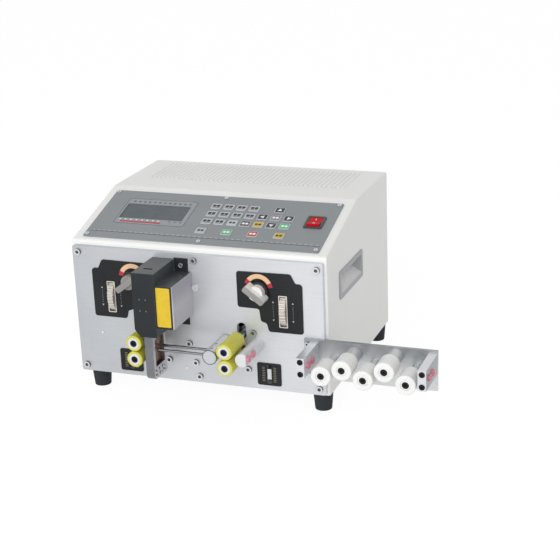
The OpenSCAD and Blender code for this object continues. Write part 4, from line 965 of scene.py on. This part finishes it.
def makeRollerEnds():
    washer = turnedRing("washerMaster", *rollerEnd["washer"], rollerEnd["washerThick"],
                        rollerEnd["washerEdge"])
    screw = turnedDisc("screwMaster", rollerEnd["screwRadius"], rollerEnd["screwHeight"],
                       rollerEnd["screwEdge"])
    key = turnedDisc("screwKey", rollerEnd["socket"], modelling["toolDepth"], modelling["toolEdge"],
                     sides=6)
    key.data.transform(moved(0, 0, rollerEnd["socketFloor"]))
    cutAway(screw, key)
    white = plainPaint("hubWhite", rollerEnd["washerShade"], 0.35)
    for side, sign in feedSides.items():
        for level in ("upper", "lower"):
            x, z = sign * rollerEnd["x"], rollerEnd[level + "Z"]
            body = "%s_%s_roller" % (side, level)
            ring = copyOf(washer, "hubWasher_%s_%s" % (side, level), frontFace(x, rollerEnd["hubFace"], z))
            dress(ring, body, "bright_steel", white)
            head = copyOf(screw, "hubScrew_%s_%s" % (side, level),
                          frontFace(x, rollerEnd["recess"], z, rollerEnd["screwTurn"]))
            dress(head, body, "black_steel", deepBlack)
    discard(washer, screw)


bossRim = {"ring": (11.2, 10), "wide": 1.3, "edge": 0.35, "sides": 56, "at": (45, -231.1, 95)}


def makeBossRim():
    # painted shade: a dark ring round the front edge of the boss
    rim = turnedRing("bossRim", *bossRim["ring"], bossRim["wide"], bossRim["edge"], bossRim["sides"])
    rim.data.transform(frontFace(*bossRim["at"]))
    bossRingShade = makeFinish("bossRingShade", (88, 90, 92), (118, 120, 122), 0.4, metal=0.5, grain=700, bump=0.03,
                          depth=0.04)
    dress(rim, "tube_swing", "plate_aluminium", bossRingShade)


rollerRing = {"ring": (7.1, 5.15), "thick": 0.8, "edge": 0.2, "sunk": 1.3}


def makeRollerRings():
    ring = turnedRing("ringMaster", *rollerRing["ring"], rollerRing["thick"], rollerRing["edge"])
    for number in straightenerRollers:
        low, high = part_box("straightener_roller_%d" % number)
        middle, face = ((low + high) / 2 - caseMiddle) / mm, (low.y - caseMiddle.y) / mm
        home = frontFace(middle.x, face + rollerRing["sunk"], middle.z)
        collar = copyOf(ring, "rollerRing_%d" % number, home)
        dress(collar, "straightener_%d" % number, "white_nylon", finishes["white_nylon"])
    discard(ring)


makeRollerEnds()
makeBossRim()
makeRollerRings()
print("roller ends made")


# label, rivets, pins and screws of the front

guardLabel = {"size": (21.5, 59), "at": (-19.0, -238, 166.5), "thick": 0.2, "corner": 1.2, "edge": 0.08}
frontTrim = {  # radius, height, eased edge, sides and places
    "guardRivets": (1.1, 0.4, 0.3, 20, [(x, -241, z) for z in (177, 160) for x in (-54.5, -45)]),
    "platePins": (1.7, 1.4, 0.5, 24, [(-156, -167, 90), (-20, -167, 46)]),
    "frameScrews": (1.5, 0.35, 0.25, 20, [(-40.5, y, 65.5) for y in (-231, -220, -209)]
                    + [(-40.5, y, 58.5) for y in (-231, -218, -205)])}


def makeGuardLabel():
    label = roundedPlate("guardLabel", *guardLabel["size"], guardLabel["thick"], guardLabel["corner"],
                         guardLabel["edge"])
    label.data.transform(frontFace(*guardLabel["at"]))
    yellow = makeFinish("labelYellow", (208, 174, 20), (222, 190, 36), 0.4, grain=260, patch=40, bump=0.08,
                        depth=0.05)
    dress(label, "machine", "guard_black", yellow)


def makeFrontTrim(name, stand, slot, coat):
    radius, height, edge, sides, places = frontTrim[name]
    head = turnedDisc("headMaster", radius, height, edge, sides=sides)
    heads = [copyOf(head, "head", stand(*place)) for place in places]
    discard(head)
    dress(joined(name, heads), "machine", slot, coat)


makeGuardLabel()
makeFrontTrim("guardRivets", frontFace, "guard_black", finishes["frame_steel"])
makeFrontTrim("platePins", frontFace, "bright_steel", finishes["white_nylon"])
makeFrontTrim("frameScrews", sideFace, "black_steel", deepBlack)
print("guard and plate trimmed")


# screws of the rear

rearScrews = {  # face, radius and places
    "wall": (157.4, 3.4, [(x, z) for x in (-130.75, -59.25) for z in (136.25, 207.75)]),
    "cover": (159, 3.2, [(x, z) for x in (-193, 193) for z in (48, 140, 232)]
              + [(x, 267) for x in (-120, 0, 120)]),
    "inlet": (158.9, 2.4, [(110, 67), (150, 67)])}
crossHead = {"thick": 0.5, "edge": 0.45, "sides": 32, "grooveWide": 0.9, "grooveDeep": 0.7,
             "grooveLong": 1.3, "grooveCorner": 0.2}  # thick and grooveLong are shares of the radius


def makeRearScrews(place):
    face, radius, spots = rearScrews[place]
    thick = crossHead["thick"] * radius
    screw = turnedDisc("panScrew", radius, thick, crossHead["edge"] * thick, sides=crossHead["sides"])
    for turn in (0, 90):
        groove = roundedPlate("screwGroove", crossHead["grooveWide"], crossHead["grooveLong"] * radius,
                              modelling["toolDepth"], crossHead["grooveCorner"])
        groove.data.transform(moved(0, 0, thick - crossHead["grooveDeep"]) @ turned(turn, "Z"))
        cutAway(screw, groove)
    screws = [copyOf(screw, "rearScrew", rearFace(x, face, z)) for x, z in spots]
    discard(screw)
    dress(joined("rearScrews_" + place, screws), "machine", "frame_steel", finishes["frame_steel"])


for place in rearScrews:
    makeRearScrews(place)
print("rear screws made")
